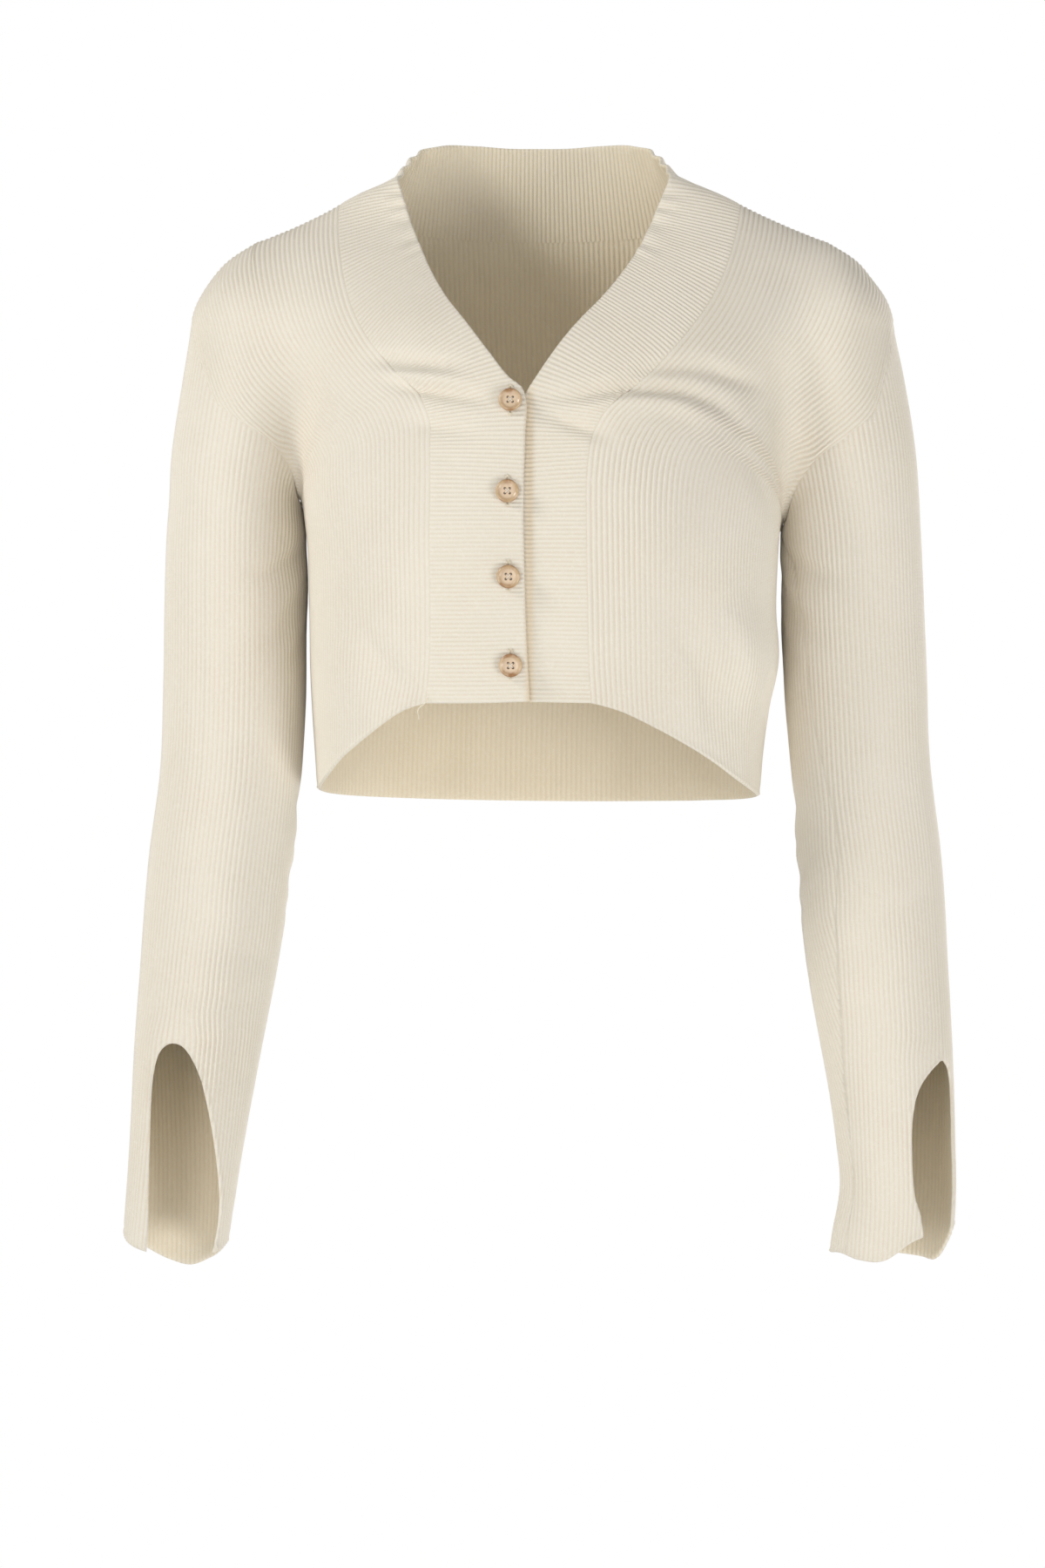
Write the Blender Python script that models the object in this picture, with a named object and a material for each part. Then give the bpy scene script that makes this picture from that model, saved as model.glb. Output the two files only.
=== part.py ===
"""A cropped V-neck cardigan in fine rib knit, hollow, as it hangs on a general upper figure.

Sizes are in millimetres and turn into metres when each mesh is made.  X runs to the wearer's
left, Y to the back and Z up.  The origin is in the middle of the neck opening, at the height
of the shoulders.

The outside of the cloth follows a smooth figure: a trunk and two arms, each a stack of rounded
horizontal sections, blended at the armholes.  Seams are short tables of points laid on that
figure.  Each panel is a grid stretched between its seams, settled on the figure, creased, and
thickened inwards.  Neighbouring panels share their seam and keep a small gap there.
"""

import math
from collections import namedtuple

import bmesh
import bpy
import numpy as np
from mathutils import Matrix

MM = 0.001

# Cloth thickness, and the gap between neighbouring pieces.
WALL = 2.2
BAND_WALL = 2.4
SEAM_GAP = 0.36
UNDERARM_GAP = 0.9

# Grid steps along each seam.
SIDE_STEPS = 10
ARMHOLE_STEPS = 24
SHOULDER_STEPS = 6
BACK_NECK_STEPS = 7
FRONT_ROWS = SIDE_STEPS + ARMHOLE_STEPS // 2
FRONT_COLUMNS = 2 * SHOULDER_STEPS
BACK_COLUMNS = 2 * (SHOULDER_STEPS + BACK_NECK_STEPS)
SLEEVE_ROWS = 17
BAND_ACROSS = 3

# Ribs that cross the bands: half ribs in one grid step on the chest and behind the neck.
HALF_RIBS_CHEST = 10
HALF_RIBS_NECK = 12
RIB_HEIGHT = 0.5
RIB_AT_SEAM = 0.2

# Edges sharper than this many degrees are shaded as edges.
SHARP_ABOVE = 40

RIGHT, LEFT = -1, 1

# The trunk, one section a row.
TRUNK = np.array([
    # height, right edge, left edge, front, back, squareness
    (40, -62, 56, -34, 60, 2.0),
    (25, -77, 72, -32, 62, 2.0),
    (15, -85, 83, -30, 63, 2.0),
    (5, -104, 103, -26, 64, 2.0),
    (-5, -120, 121, -26, 65, 2.0),
    (-15, -140, 143, -30, 66, 2.0),
    (-25, -163, 166, -37, 68, 2.0),
    (-35, -177, 180, -46, 72, 2.0),
    (-45, -180, 183, -55, 76, 2.0),
    (-60, -174, 177, -68, 81, 2.05),
    (-80, -160, 163, -84, 86, 2.1),
    (-105, -145, 148, -97, 90, 2.2),
    (-135, -139, 142, -105, 92.5, 2.35),
    (-172, -136, 139, -110, 93, 2.5),
    (-200, -133, 136.5, -112, 92, 2.5),
    (-235, -132, 135, -110, 90, 2.5),
    (-265, -131.5, 136.5, -106, 88.5, 2.5),
    (-290, -130.5, 131.5, -102, 87, 2.45),
    (-315, -129, 128, -99, 86.5, 2.4),
    (-345, -127, 125.5, -97, 86, 2.4),
])
TRUNK_MIDDLE_Y = 5

# The arms, one section a row, with a round top.  Across is measured from X = 0 outwards.
# height, centre across, centre in depth, half width, half depth
ARMS = {
    RIGHT: np.array([
        (-75, 161.5, 6, 39.0, 45),
        (-105, 166.0, 6, 39.5, 46),
        (-150, 173.2, 6, 38.7, 45),
        (-174, 176.0, 6, 37.0, 43),
        (-190, 176.0, 6, 38.2, 43),
        (-230, 175.7, 7, 40.0, 42),
        (-275, 175.6, 8, 41.0, 42),
        (-325, 177.6, 8, 40.5, 42),
        (-375, 182.8, 6, 41.6, 41),
        (-435, 189.3, -2, 39.3, 39),
        (-485, 195.5, -10, 36.2, 36),
        (-535, 200.9, -18, 32.7, 33),
        (-585, 206.2, -25, 30.3, 31),
        (-625, 210.2, -29, 28.6, 30),
    ]),
    LEFT: np.array([
        (-75, 164.0, 6, 39.5, 45),
        (-105, 169.0, 6, 40.5, 46),
        (-150, 176.5, 6, 40.0, 45),
        (-188, 179.8, 6, 38.9, 43),
        (-230, 179.8, 7, 41.0, 42),
        (-275, 181.6, 8, 41.0, 42),
        (-325, 184.6, 8, 40.0, 42),
        (-375, 189.0, 6, 41.6, 41),
        (-435, 193.2, -2, 40.4, 39),
        (-485, 198.3, -10, 37.3, 36),
        (-535, 202.6, -18, 33.8, 33),
        (-565, 203.8, -22, 32.9, 32),
        (-590, 200.8, -25, 34.5, 32),
        (-625, 197.0, -30, 36.2, 32),
    ]),
}
UNDERARM = {RIGHT: -174, LEFT: -188}

# How widely arm and trunk blend: height above the underarm, width of the blend.
ARMHOLE_BLEND = np.array([(-14, 0), (0, 6), (22, 16), (52, 26), (92, 24), (140, 14)])

# Armhole seam: angle round the arm from its outer side, share of the way down to the underarm.
ARMHOLE_TOP = -69
ARMHOLE = np.array([
    (0, 0), (20, 0.08), (45, 0.27), (67, 0.475), (80, 0.53), (96, 0.60), (116, 0.67),
    (145, 0.83), (166, 0.965), (180, 1.0),
])
# Beneath the arm, from these angles on, the seam is drawn in and its gap widens.
UNDERARM_FOLD = 1.5
FOLD_FROM = 150
WIDER_FROM = 140
SIDE_SEAM_Y = 5
SIDE_HEM = {RIGHT: -338, LEFT: -342}
SHOULDER_SEAM_Y = 7
SHOULDER_SEAM_START = 113.5
SHOULDER_SEAM_LIFT = 24

# Hem of the fronts, arched up to the bands: across, height.
FRONT_HEM = np.array([
    (-127.5, -338), (-121, -330), (-112, -320), (-102, -312), (-92, -304.5), (-77, -294.5),
    (-64, -290.5), (-17, -289.5), (28, -290.5), (43, -294.5), (63, -303.5), (81, -313),
    (98, -323), (112, -333), (126, -342),
])
BACK_HEM_DIP = 5

# Seam between bands and fronts on the chest, from the hem up: across, height.
BAND_SEAM = {
    RIGHT: np.array([
        (-64, -290.5), (-61.5, -268), (-60.5, -239), (-60.4, -191), (-60.8, -153),
        (-62.4, -131), (-68, -118), (-77, -109), (-88, -97), (-98, -83), (-105.5, -68),
        (-110, -53), (-113, -37),
    ]),
    LEFT: np.array([
        (28, -290.5), (26.5, -268), (25.8, -239), (25, -191), (25.6, -160), (28, -144),
        (34, -131), (47, -118), (60.3, -106.5), (74, -92), (86, -77), (95.5, -63),
        (102.5, -49), (108, -34),
    ]),
}
# From the shoulder seam round to the middle of the back: across, depth, height.
NECK_SEAM = np.array([
    (113.5, 7, -2), (107, 28, -6), (90, 45, -11), (64, 56, -15), (33, 61, -17), (0, 62, -18),
])

# Free edge of the bands on the chest, from the hem up: across, height.
BAND_EDGE_CHEST = {
    RIGHT: np.array([
        (-6, -289.5), (-7.7, -258), (-9.1, -210), (-9.4, -172), (-8.4, -140), (-8.4, -124),
        (-13.5, -111), (-28.5, -94), (-41.6, -77), (-52.5, -62), (-61.5, -45), (-68, -29),
    ]),
    LEFT: np.array([
        (-28, -289.5), (-26.7, -258), (-25.6, -210), (-25.4, -172), (-24.8, -149),
        (-20.5, -136), (-7, -115), (10, -89), (23, -72.5), (36.3, -58.5), (49, -42),
        (57.5, -27.5),
    ]),
}
# Free edge where it stands round the neck: across, depth, height.
BAND_EDGE_NECK = {
    RIGHT: np.array([
        (-75, -20, -10), (-78, -4, 6), (-78, 12, 20), (-72.5, 28, 31), (-59, 42, 37),
        (-39, 52, 38), (-16, 57, 37), (-1, 58, 37),
    ]),
    LEFT: np.array([
        (65, -20, -12), (70, -6, 4), (72, 10, 20), (68, 26, 31), (56, 41, 37),
        (38, 51, 38), (15, 57, 37), (-1, 58, 37),
    ]),
}
BAND_MIDDLE_X = -1
# Where a band leaves the figure and where it stands free, in shares of the way to the shoulder.
BAND_LEAVES = 0.92
BAND_STANDS = 1.22

# Where the ribs cross a band: share of the seam's length, share of the edge's length.
BAND_STATIONS = {
    RIGHT: np.array([
        (0, 0), (0.208, 0.21), (0.304, 0.308), (0.335, 0.354), (0.378, 0.436), (0.417, 0.507),
        (0.4725, 0.578), (0.541, 0.629), (0.62, 0.678), (0.711, 0.735), (0.82, 0.825), (1, 1),
    ]),
    LEFT: np.array([
        (0, 0), (0.2, 0.208), (0.293, 0.305), (0.3355, 0.3785), (0.372, 0.4475), (0.405, 0.498),
        (0.4545, 0.546), (0.509, 0.6), (0.5785, 0.65), (0.717, 0.745), (0.82, 0.83), (1, 1),
    ]),
}

# The right front laps over the left one: how far each band moves out or in.
LAP_LIFT = {RIGHT: 1.6, LEFT: -1.8}
LAP_REACH = 0.62
LAP_FULL = -108
LAP_NONE = -70

# Wrist slits: drop below the top of the slit, angle of each edge round the arm.
SLIT_TOP = {RIGHT: -481.5, LEFT: -492}
SLIT = {
    RIGHT: np.array([
        (0, 67, 67), (0.6, 64, 73), (2, 60.5, 79), (5, 56, 84), (10, 52.5, 90), (20, 49.7, 99),
        (36, 49.2, 109.5), (55, 51, 121), (72, 53, 131), (93, 56.5, 142), (108, 59, 145),
        (130, 60, 140),
    ]),
    LEFT: np.array([
        (0, 33, 33), (0.6, 31.5, 37), (2, 29.5, 42), (5, 25, 49.5), (10, 20.5, 58),
        (20, 17.7, 68.5), (36, 17.3, 75.5), (55, 17.6, 78), (72, 17.5, 78.5), (84, 17.5, 76),
        (98, 18, 68), (130, 18, 60),
    ]),
}
SLIT_ROWS = (0, 1.2, 4, 10, 20, 36, 55, 74, 92)

# Cuff edge: angle round the arm, height.
CUFF_NOMINAL = -604
CUFF_EDGE = {
    RIGHT: np.array([(0, -589), (30, -595), (55, -598), (95, -601), (143, -600), (180, -595),
                     (225, -606), (254, -611), (278, -608), (315, -599), (360, -589)]),
    LEFT: np.array([(0, -585), (17, -587), (75, -593), (100, -603), (125, -603), (150, -600),
                    (180, -601), (225, -603), (270, -604), (305, -606), (322, -607),
                    (342, -596), (360, -585)]),
}

# Fullness of the chest: across, height, how far out, reach across, reach in height.
FULLNESS = (
    (-70, -200, 4.0, 38, 46),
    (74, -200, 4.0, 38, 46),
)

# Creases fade towards a panel's seams: shares of its height at the top, of its width at a side.
SHIFT_FADE = 0.12
FRONT_SIDE_FADE = 0.2
BACK_SIDE_FADE = 0.1

# Creases of the fronts: points across and in height, how far out, half width.
FRONT_CREASES = (
    (((46, -110), (64, -103), (86, -102), (106, -109)), -2.8, 6.5),
    (((2, -121), (30, -117), (60, -116), (84, -123), (100, -140)), -2.4, 6.0),
    (((24, -113), (60, -109), (88, -112), (104, -124)), 2.0, 5.0),
    (((6, -130), (28, -137), (44, -141)), -1.8, 6.0),
    (((-90, -112), (-64, -118), (-38, -121)), -2.4, 7.0),
    (((-96, -99), (-70, -106), (-44, -108)), -1.4, 6.5),
    (((78, -246), (98, -276), (104, -312)), -3.5, 12.0),
    (((104, -232), (116, -262), (122, -290)), 3.0, 13.0),
    (((-100, -250), (-86, -272), (-66, -284)), -2.2, 10.0),
    (((-92, -306), (-104, -280), (-110, -250)), 2.2, 13.0),
)
BACK_CREASES = (
    (((-92, -150), (-50, -166), (0, -170), (52, -165), (90, -148)), -1.6, 13.0),
    (((-104, -300), (-62, -268), (-20, -262)), -2.2, 11.0),
    (((102, -290), (66, -262), (24, -257)), -2.2, 11.0),
    (((-60, -340), (-52, -302), (-56, -268)), 2.4, 13.0),
    (((44, -340), (50, -304), (46, -262)), 2.4, 13.0),
)
# Creases of a sleeve: points by angle and height, how far out, half width.
ARM_MM_PER_DEGREE = 0.72
SLEEVE_CREASES = (
    (((176, -200), (142, -214), (112, -224)), -2.4, 8.0),
    (((184, -226), (152, -240), (126, -252)), -1.8, 8.0),
    (((160, -330), (190, -352), (232, -360)), -2.0, 9.0),
    (((150, -374), (190, -390), (240, -386)), -1.8, 9.0),
    (((60, -404), (100, -426), (150, -434)), -1.2, 11.0),
    (((200, -204), (240, -222), (282, -228)), -2.0, 9.0),
)

# Buttons: heights down the front, and across.
BUTTONS = ((-16.6, -123.5), (-18.2, -174), (-17.6, -220.5), (-16.4, -269))
# Outline of a button from its back to its dish: radius, height.
BUTTON_PROFILE = ((5.6, 0), (6.5, 0.9), (6.5, 1.8), (5.7, 2.6), (4.9, 2.6), (4.0, 1.9))
BUTTON_HOLE_RADIUS = 0.8
BUTTON_HOLE_SPACING = 2.7
BUTTON_HOLES = 4
BUTTON_SIDES = 20
BUTTON_HOLE_SIDES = 8
BUTTON_OVERCUT = 2
BUTTON_GAP = 0.4

IVORY = (0.86, 0.81, 0.68)
HORN = (0.70, 0.50, 0.30)


# Curves and small helpers.

def ease(t):
    t = np.clip(t, 0, 1)
    return t * t * (3 - 2 * t)


def unit(vectors):
    return vectors / np.maximum(np.linalg.norm(vectors, axis=-1, keepdims=True), 1e-9)


def smooth(knots, values, t):
    """A smooth curve through the values at rising knots, read at t."""
    t = np.clip(np.asarray(t, float), knots[0], knots[-1])
    slopes = np.gradient(values, knots, axis=0)
    i = np.clip(np.searchsorted(knots, t, side="right") - 1, 0, len(knots) - 2)
    span = knots[i + 1] - knots[i]
    s = (t - knots[i]) / span
    if values.ndim > 1:
        s, span = s[..., None], span[..., None]
    return (
        (2 * s**3 - 3 * s**2 + 1) * values[i]
        + (s**3 - 2 * s**2 + s) * span * slopes[i]
        + (3 * s**2 - 2 * s**3) * values[i + 1]
        + (s**3 - s**2) * span * slopes[i + 1]
    )


def lengths(points):
    """Share of its length at which each point of a line lies."""
    steps = np.linalg.norm(np.diff(points, axis=0), axis=1)
    run = np.concatenate([[0], np.cumsum(steps)])
    return run / run[-1]


def along(points, shares, fine=400):
    """Points at the given shares of the length of a smooth line through a few points."""
    line = smooth(lengths(points), points, np.linspace(0, 1, fine))
    run = lengths(line)
    return np.stack([np.interp(shares, run, line[:, i]) for i in range(points.shape[1])], -1)


def respace(points, count):
    """Each row of points spread evenly along its own length."""
    shares = np.linspace(0, 1, count)
    return np.stack([
        np.stack([np.interp(shares, lengths(row), row[:, i]) for i in range(3)], -1)
        for row in points
    ])


# The figure.

def trunk(p):
    """Rough distance of p from the trunk, less than 0 inside."""
    table = TRUNK[::-1]
    right, left, front, back, power = np.moveaxis(
        smooth(table[:, 0], table[:, 1:], p[..., 2]), -1, 0)
    x = p[..., 0] - (right + left) / 2
    y = p[..., 1] - TRUNK_MIDDLE_Y
    half_width = (left - right) / 2
    half_depth = np.where(y < 0, TRUNK_MIDDLE_Y - front, back - TRUNK_MIDDLE_Y)
    grown = (np.abs(x) / half_width) ** power + (np.abs(y) / half_depth) ** power
    grown = np.maximum(grown, 1e-6) ** (1 / power)
    return np.hypot(x, y) * (1 - 1 / grown)


def arm(side, p):
    """Rough distance of p from an arm, less than 0 inside."""
    table = ARMS[side][::-1]
    x, y, half_width, half_depth = np.moveaxis(
        smooth(table[:, 0], table[:, 1:], p[..., 2]), -1, 0)
    x = side * p[..., 0] - x
    y = p[..., 1] - y
    grown = np.maximum(np.hypot(x / half_width, y / half_depth), 1e-3)
    out = np.hypot(x, y)
    above = np.maximum(p[..., 2] - table[-1, 0], 0)
    return np.hypot(out, above) - out / grown


def blend(side, own, other, z):
    """The nearer of two bodies, filled in where they meet above the underarm."""
    above = z - UNDERARM[side]
    width = np.maximum(smooth(ARMHOLE_BLEND[:, 0], ARMHOLE_BLEND[:, 1], above), 1e-6)
    fill = np.clip(1 - np.abs(own - other) / width, 0, 1) ** 2 * width / 4
    return np.where(above > 0, np.minimum(own, other), own) - fill


def body_shape(p):
    """The figure as the fronts and the back see it."""
    own = trunk(p)
    shapes = [blend(side, own, arm(side, p), p[..., 2]) for side in (RIGHT, LEFT)]
    return np.where(p[..., 0] < 0, shapes[0], shapes[1])


def sleeve_shape(side):
    """The figure as one sleeve sees it."""
    return lambda p: blend(side, arm(side, p), trunk(p), p[..., 2])


def slope(shape, p, step=0.4):
    moves = np.eye(3) * step
    return np.stack([shape(p + move) - shape(p - move) for move in moves], -1) / (2 * step)


def settle(shape, p, rounds=14, most=12.0):
    """Points moved onto the figure, straight towards it."""
    for _ in range(rounds):
        way = slope(shape, p)
        size = np.maximum((way**2).sum(-1), 1e-3)
        move = way * (shape(p) / size)[..., None]
        far = np.linalg.norm(move, axis=-1, keepdims=True)
        p = p - move * np.minimum(1, most / np.maximum(far, 1e-9))
    return p


def on_front(flat):
    """Points of the front of the figure, from points given across and in height."""
    near = np.full(len(flat), -180.0)
    far = np.full(len(flat), float(TRUNK_MIDDLE_Y))
    for _ in range(36):
        y = (near + far) / 2
        outside = body_shape(np.stack([flat[:, 0], y, flat[:, 1]], -1)) > 0
        near = np.where(outside, y, near)
        far = np.where(outside, far, y)
    return np.stack([flat[:, 0], far, flat[:, 1]], -1)


# Creases.

def crease_shift(flat, creases):
    """How far creases move points, given across and in height."""
    shift = np.zeros(flat.shape[:-1])
    for line, depth, half_width in creases:
        line = along(np.array(line, float), np.linspace(0, 1, 25), 60)
        far = np.linalg.norm(flat[..., None, :] - line, axis=-1)
        taper = np.sin(np.pi * (0.06 + 0.88 * far.argmin(-1) / 24)) ** 0.7
        shift += depth * taper * np.exp(-((far.min(-1) / half_width) ** 2))
    return shift


def chest_shift(flat):
    """How far the creases and the fullness of the chest move points of the front."""
    shift = crease_shift(flat, FRONT_CREASES)
    for x, z, out, reach_x, reach_z in FULLNESS:
        apart = ((flat[..., 0] - x) / reach_x) ** 2 + ((flat[..., 1] - z) / reach_z) ** 2
        shift += out * np.exp(-apart)
    return shift


# Seams.  Each is a line of points that its two pieces share, with the way out of the cloth and
# the way across the seam at each point.

Seam = namedtuple("Seam", "points normals sideways")


def seam_of(points, normals=None):
    if normals is None:
        normals = unit(slope(body_shape, points))
    return Seam(points, normals, unit(np.cross(normals, np.gradient(points, axis=0))))


def part_of(seam, steps):
    return Seam(*(values[steps] for values in seam))


def subdivided(seam, counts):
    """A seam with its steps cut into equal parts, each still straight."""
    places = [i + k / n for i, n in enumerate(counts) for k in range(n)] + [len(counts)]
    whole = np.arange(len(counts) + 1)
    return Seam(*(
        np.stack([np.interp(places, whole, values[:, i]) for i in range(3)], -1)
        for values in seam
    ))


def on_arm(side, turn, z):
    """Points of an arm by angle, 0 at its outer side and 90 at its front, and height."""
    table = ARMS[side][::-1]
    x, y, half_width, half_depth = np.moveaxis(smooth(table[:, 0], table[:, 1:], z), -1, 0)
    angle = np.radians(turn)
    across = side * (x + half_width * np.cos(angle))
    return np.stack([across, y - half_depth * np.sin(angle), z], -1)


def armhole(side):
    """From the shoulder down the front to the underarm and up the back to the shoulder."""
    turn = np.linspace(0, 360, ARMHOLE_STEPS + 1)
    folded = np.minimum(turn, 360 - turn)
    drop = smooth(ARMHOLE[:, 0], ARMHOLE[:, 1], folded)
    z = ARMHOLE_TOP + (UNDERARM[side] - ARMHOLE_TOP) * drop
    guess = on_arm(side, turn, z)
    guess[:, 0] -= side * UNDERARM_FOLD * ease((folded - FOLD_FROM) / (180 - FOLD_FROM))
    points = settle(sleeve_shape(side), guess)
    points[-1] = points[0]
    around = np.concatenate([points[-2:-1], points, points[1:2]])
    seam = part_of(seam_of(around), slice(1, -1))
    wider = ease((folded - WIDER_FROM) / (180 - WIDER_FROM))
    wider = 1 + (UNDERARM_GAP / SEAM_GAP - 1) * wider
    return seam._replace(sideways=seam.sideways * wider[:, None])


def side_seam(side):
    """From the hem to the underarm."""
    table = TRUNK[::-1]
    z = np.linspace(SIDE_HEM[side], UNDERARM[side], SIDE_STEPS + 1)
    edge = smooth(table[:, 0], table[:, 1:3], z)[:, 0 if side == RIGHT else 1]
    points = settle(body_shape, np.stack([edge, np.full(len(z), SIDE_SEAM_Y), z], -1))
    points[-1] = armhole(side).points[ARMHOLE_STEPS // 2]
    seam = seam_of(points)
    # The cloth turns over at the underarm, where the way out runs along the seam.
    seam.sideways[-1] = seam.sideways[-2]
    return seam


def band_line(side):
    """The seam of a band as a few points, and the share of its length at the shoulder."""
    neck = NECK_SEAM * np.array([side, 1, 1])
    neck[-1, 0] = BAND_MIDDLE_X
    line = np.concatenate([on_front(BAND_SEAM[side]), neck])
    return line, lengths(line)[len(BAND_SEAM[side])]


def band_seam(side):
    """From the hem up the front, over the shoulder, to the middle of the back."""
    line, shoulder = band_line(side)
    shares = band_shares(side)
    points = settle(body_shape, along(line, shares))
    normals = unit(slope(body_shape, points))
    shift = chest_shift(points[:, [0, 2]]) * ease((1 - shares / shoulder) / SHIFT_FADE)
    return seam_of(points + normals * shift[:, None], normals)


def band_shares(side):
    shoulder = band_line(side)[1]
    chest = np.linspace(0, shoulder, FRONT_ROWS + 1)
    return np.concatenate([chest, np.linspace(shoulder, 1, BACK_NECK_STEPS + 1)[1:]])


def shoulder_seam(side):
    """From the band to the top of the armhole."""
    start = band_seam(side).points[FRONT_ROWS]
    end = armhole(side).points[0]
    s = np.linspace(0, 1, 60)[:, None]
    guess = start + (end - start) * s
    guess[:, 2] += SHOULDER_SEAM_LIFT * 4 * (s * (1 - s))[:, 0]
    line = settle(body_shape, guess)
    line[0], line[-1] = start, end
    return seam_of(respace(line[None], SHOULDER_STEPS + 1)[0])


def front_hem(side):
    """Hem of a front, from the band to the side seam."""
    table = TRUNK[::-1]
    start = BAND_SEAM[side][0, 0]
    z = np.full(60, FRONT_HEM[0, 1], float)
    for _ in range(4):
        right, left, front, _, power = smooth(table[:, 0], table[:, 1:], z).T
        middle, half_width = (right + left) / 2, (left - right) / 2
        last = math.acos((start - middle[0]) * side / half_width[0])
        angle = np.linspace(last, 0, 60)
        x = middle + side * half_width * np.cos(angle)
        z = smooth(FRONT_HEM[:, 0], FRONT_HEM[:, 1], x)
    flat = 1 - np.clip(np.cos(angle), 0, 1) ** power
    y = TRUNK_MIDDLE_Y - (TRUNK_MIDDLE_Y - front) * flat ** (1 / power)
    return np.stack([x, y, z], -1)


def back_hem():
    """Hem of the back, from the right side seam to the left one."""
    table = TRUNK[::-1]
    angle = np.linspace(math.pi, 0, 80)
    share = np.linspace(0, 1, 80)
    z = SIDE_HEM[RIGHT] * (1 - share) + SIDE_HEM[LEFT] * share
    z = z - BACK_HEM_DIP * np.sin(angle)
    right, left, _, back, _ = smooth(table[:, 0], table[:, 1:], z).T
    x = (right + left) / 2 + (left - right) / 2 * np.cos(angle)
    y = TRUNK_MIDDLE_Y + (back - TRUNK_MIDDLE_Y) * np.sin(angle)
    return settle(body_shape, np.stack([x, y, z], -1))


# Panels.

def stretch(bottom, top, first, last):
    """A grid stretched between four lines.  Rows run from first to last, bottom row first."""
    v = np.linspace(0, 1, len(first))[:, None, None]
    u = np.linspace(0, 1, len(bottom))[None, :, None]
    grid = (1 - v) * bottom + v * top + (1 - u) * first[:, None] + u * last[:, None]
    corners = (1 - u) * ((1 - v) * bottom[0] + v * top[0])
    corners = corners + u * ((1 - v) * bottom[-1] + v * top[-1])
    return grid - corners


def join(points, normals, place, inside, seam):
    """The edge of a grid laid on a seam."""
    points[place] = seam.points
    normals[place] = seam.normals
    way = seam.sideways * SEAM_GAP / 2
    return place, way * np.sign((way * (points[inside] - points[place])).sum())


def make_room(points, joints):
    """The seamed edges of a grid moved in, by half the gap each."""
    for place, way in joints:
        points[place] = points[place] + way


def fill_in(hem, top, first, last, columns):
    """A grid between four lines, settled on the figure, with evenly spaced columns."""
    hem[0], hem[-1] = first[0], last[0]
    grid = stretch(hem, respace(top[None], len(hem))[0], first, last)
    grid[1:-1, 1:-1] = settle(body_shape, grid[1:-1, 1:-1])
    grid = respace(grid, columns + 1)
    grid[:, 1:-1] = settle(body_shape, grid[:, 1:-1], 6)
    return grid


def front_points(side):
    """Outer points of a front from the band outwards, a row for each step up, and the way out."""
    band = part_of(band_seam(side), slice(0, FRONT_ROWS + 1))
    below, hole = side_seam(side), armhole(side)
    hole = part_of(hole, slice(ARMHOLE_STEPS // 2, None, -1))
    top = subdivided(shoulder_seam(side), [2] * SHOULDER_STEPS)
    outer_edge = np.concatenate([below.points, hole.points[1:]])
    grid = fill_in(front_hem(side), top.points, band.points, outer_edge, FRONT_COLUMNS)
    normals = unit(slope(body_shape, grid))
    u = np.linspace(0, 1, FRONT_COLUMNS + 1)[None, :]
    v = np.linspace(0, 1, FRONT_ROWS + 1)[:, None]
    held = ease((1 - u) / FRONT_SIDE_FADE) * ease((1 - v) / SHIFT_FADE)
    shift = chest_shift(grid[..., [0, 2]]) * held
    grid = grid + normals * shift[..., None]
    low, high = slice(0, SIDE_STEPS + 1), slice(SIDE_STEPS, None)
    make_room(grid, [
        join(grid, normals, (slice(None), 0), (slice(None), 1), band),
        join(grid, normals, (-1, slice(None)), (-2, slice(None)), top),
        join(grid, normals, (low, -1), (low, -2), below),
        join(grid, normals, (high, -1), (high, -2), hole),
    ])
    return grid, normals


def back_points():
    """Outer points of the back from right to left, a row for each step up, and the way out."""
    seams = {}
    for side in (RIGHT, LEFT):
        hole = part_of(armhole(side), slice(ARMHOLE_STEPS // 2, None))
        neck = part_of(band_seam(side), slice(FRONT_ROWS, None))
        seams[side] = (side_seam(side), hole, shoulder_seam(side), neck)
    (below_r, hole_r, shoulder_r, neck_r), (below_l, hole_l, shoulder_l, neck_l) = (
        seams[RIGHT], seams[LEFT])
    top = np.concatenate([shoulder_r.points[::-1], neck_r.points[1:],
                          neck_l.points[::-1][1:], shoulder_l.points[1:]])
    first = np.concatenate([below_r.points, hole_r.points[1:]])
    last = np.concatenate([below_l.points, hole_l.points[1:]])
    grid = fill_in(back_hem(), top, first, last, BACK_COLUMNS)
    normals = unit(slope(body_shape, grid))
    u = np.linspace(0, 1, BACK_COLUMNS + 1)[None, :]
    v = np.linspace(0, 1, FRONT_ROWS + 1)[:, None]
    held = ease(np.minimum(u, 1 - u) / BACK_SIDE_FADE) * ease((1 - v) / SHIFT_FADE)
    shift = crease_shift(grid[..., [0, 2]], BACK_CREASES) * held
    grid = grid + normals * shift[..., None]
    low, high = slice(0, SIDE_STEPS + 1), slice(SIDE_STEPS, None)
    one, two = SHOULDER_STEPS, SHOULDER_STEPS + BACK_NECK_STEPS
    joints = []
    for seam, columns in (
        (part_of(shoulder_r, slice(None, None, -1)), slice(0, one + 1)),
        (neck_r, slice(one, two + 1)),
        (part_of(neck_l, slice(None, None, -1)), slice(two, -one)),
        (shoulder_l, slice(-one - 1, None)),
    ):
        joints.append(join(grid, normals, (-1, columns), (-2, columns), seam))
    for column, inside, below, hole in ((0, 1, below_r, hole_r), (-1, -2, below_l, hole_l)):
        joints.append(join(grid, normals, (low, column), (low, inside), below))
        joints.append(join(grid, normals, (high, column), (high, inside), hole))
    make_room(grid, joints)
    return grid, normals


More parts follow.
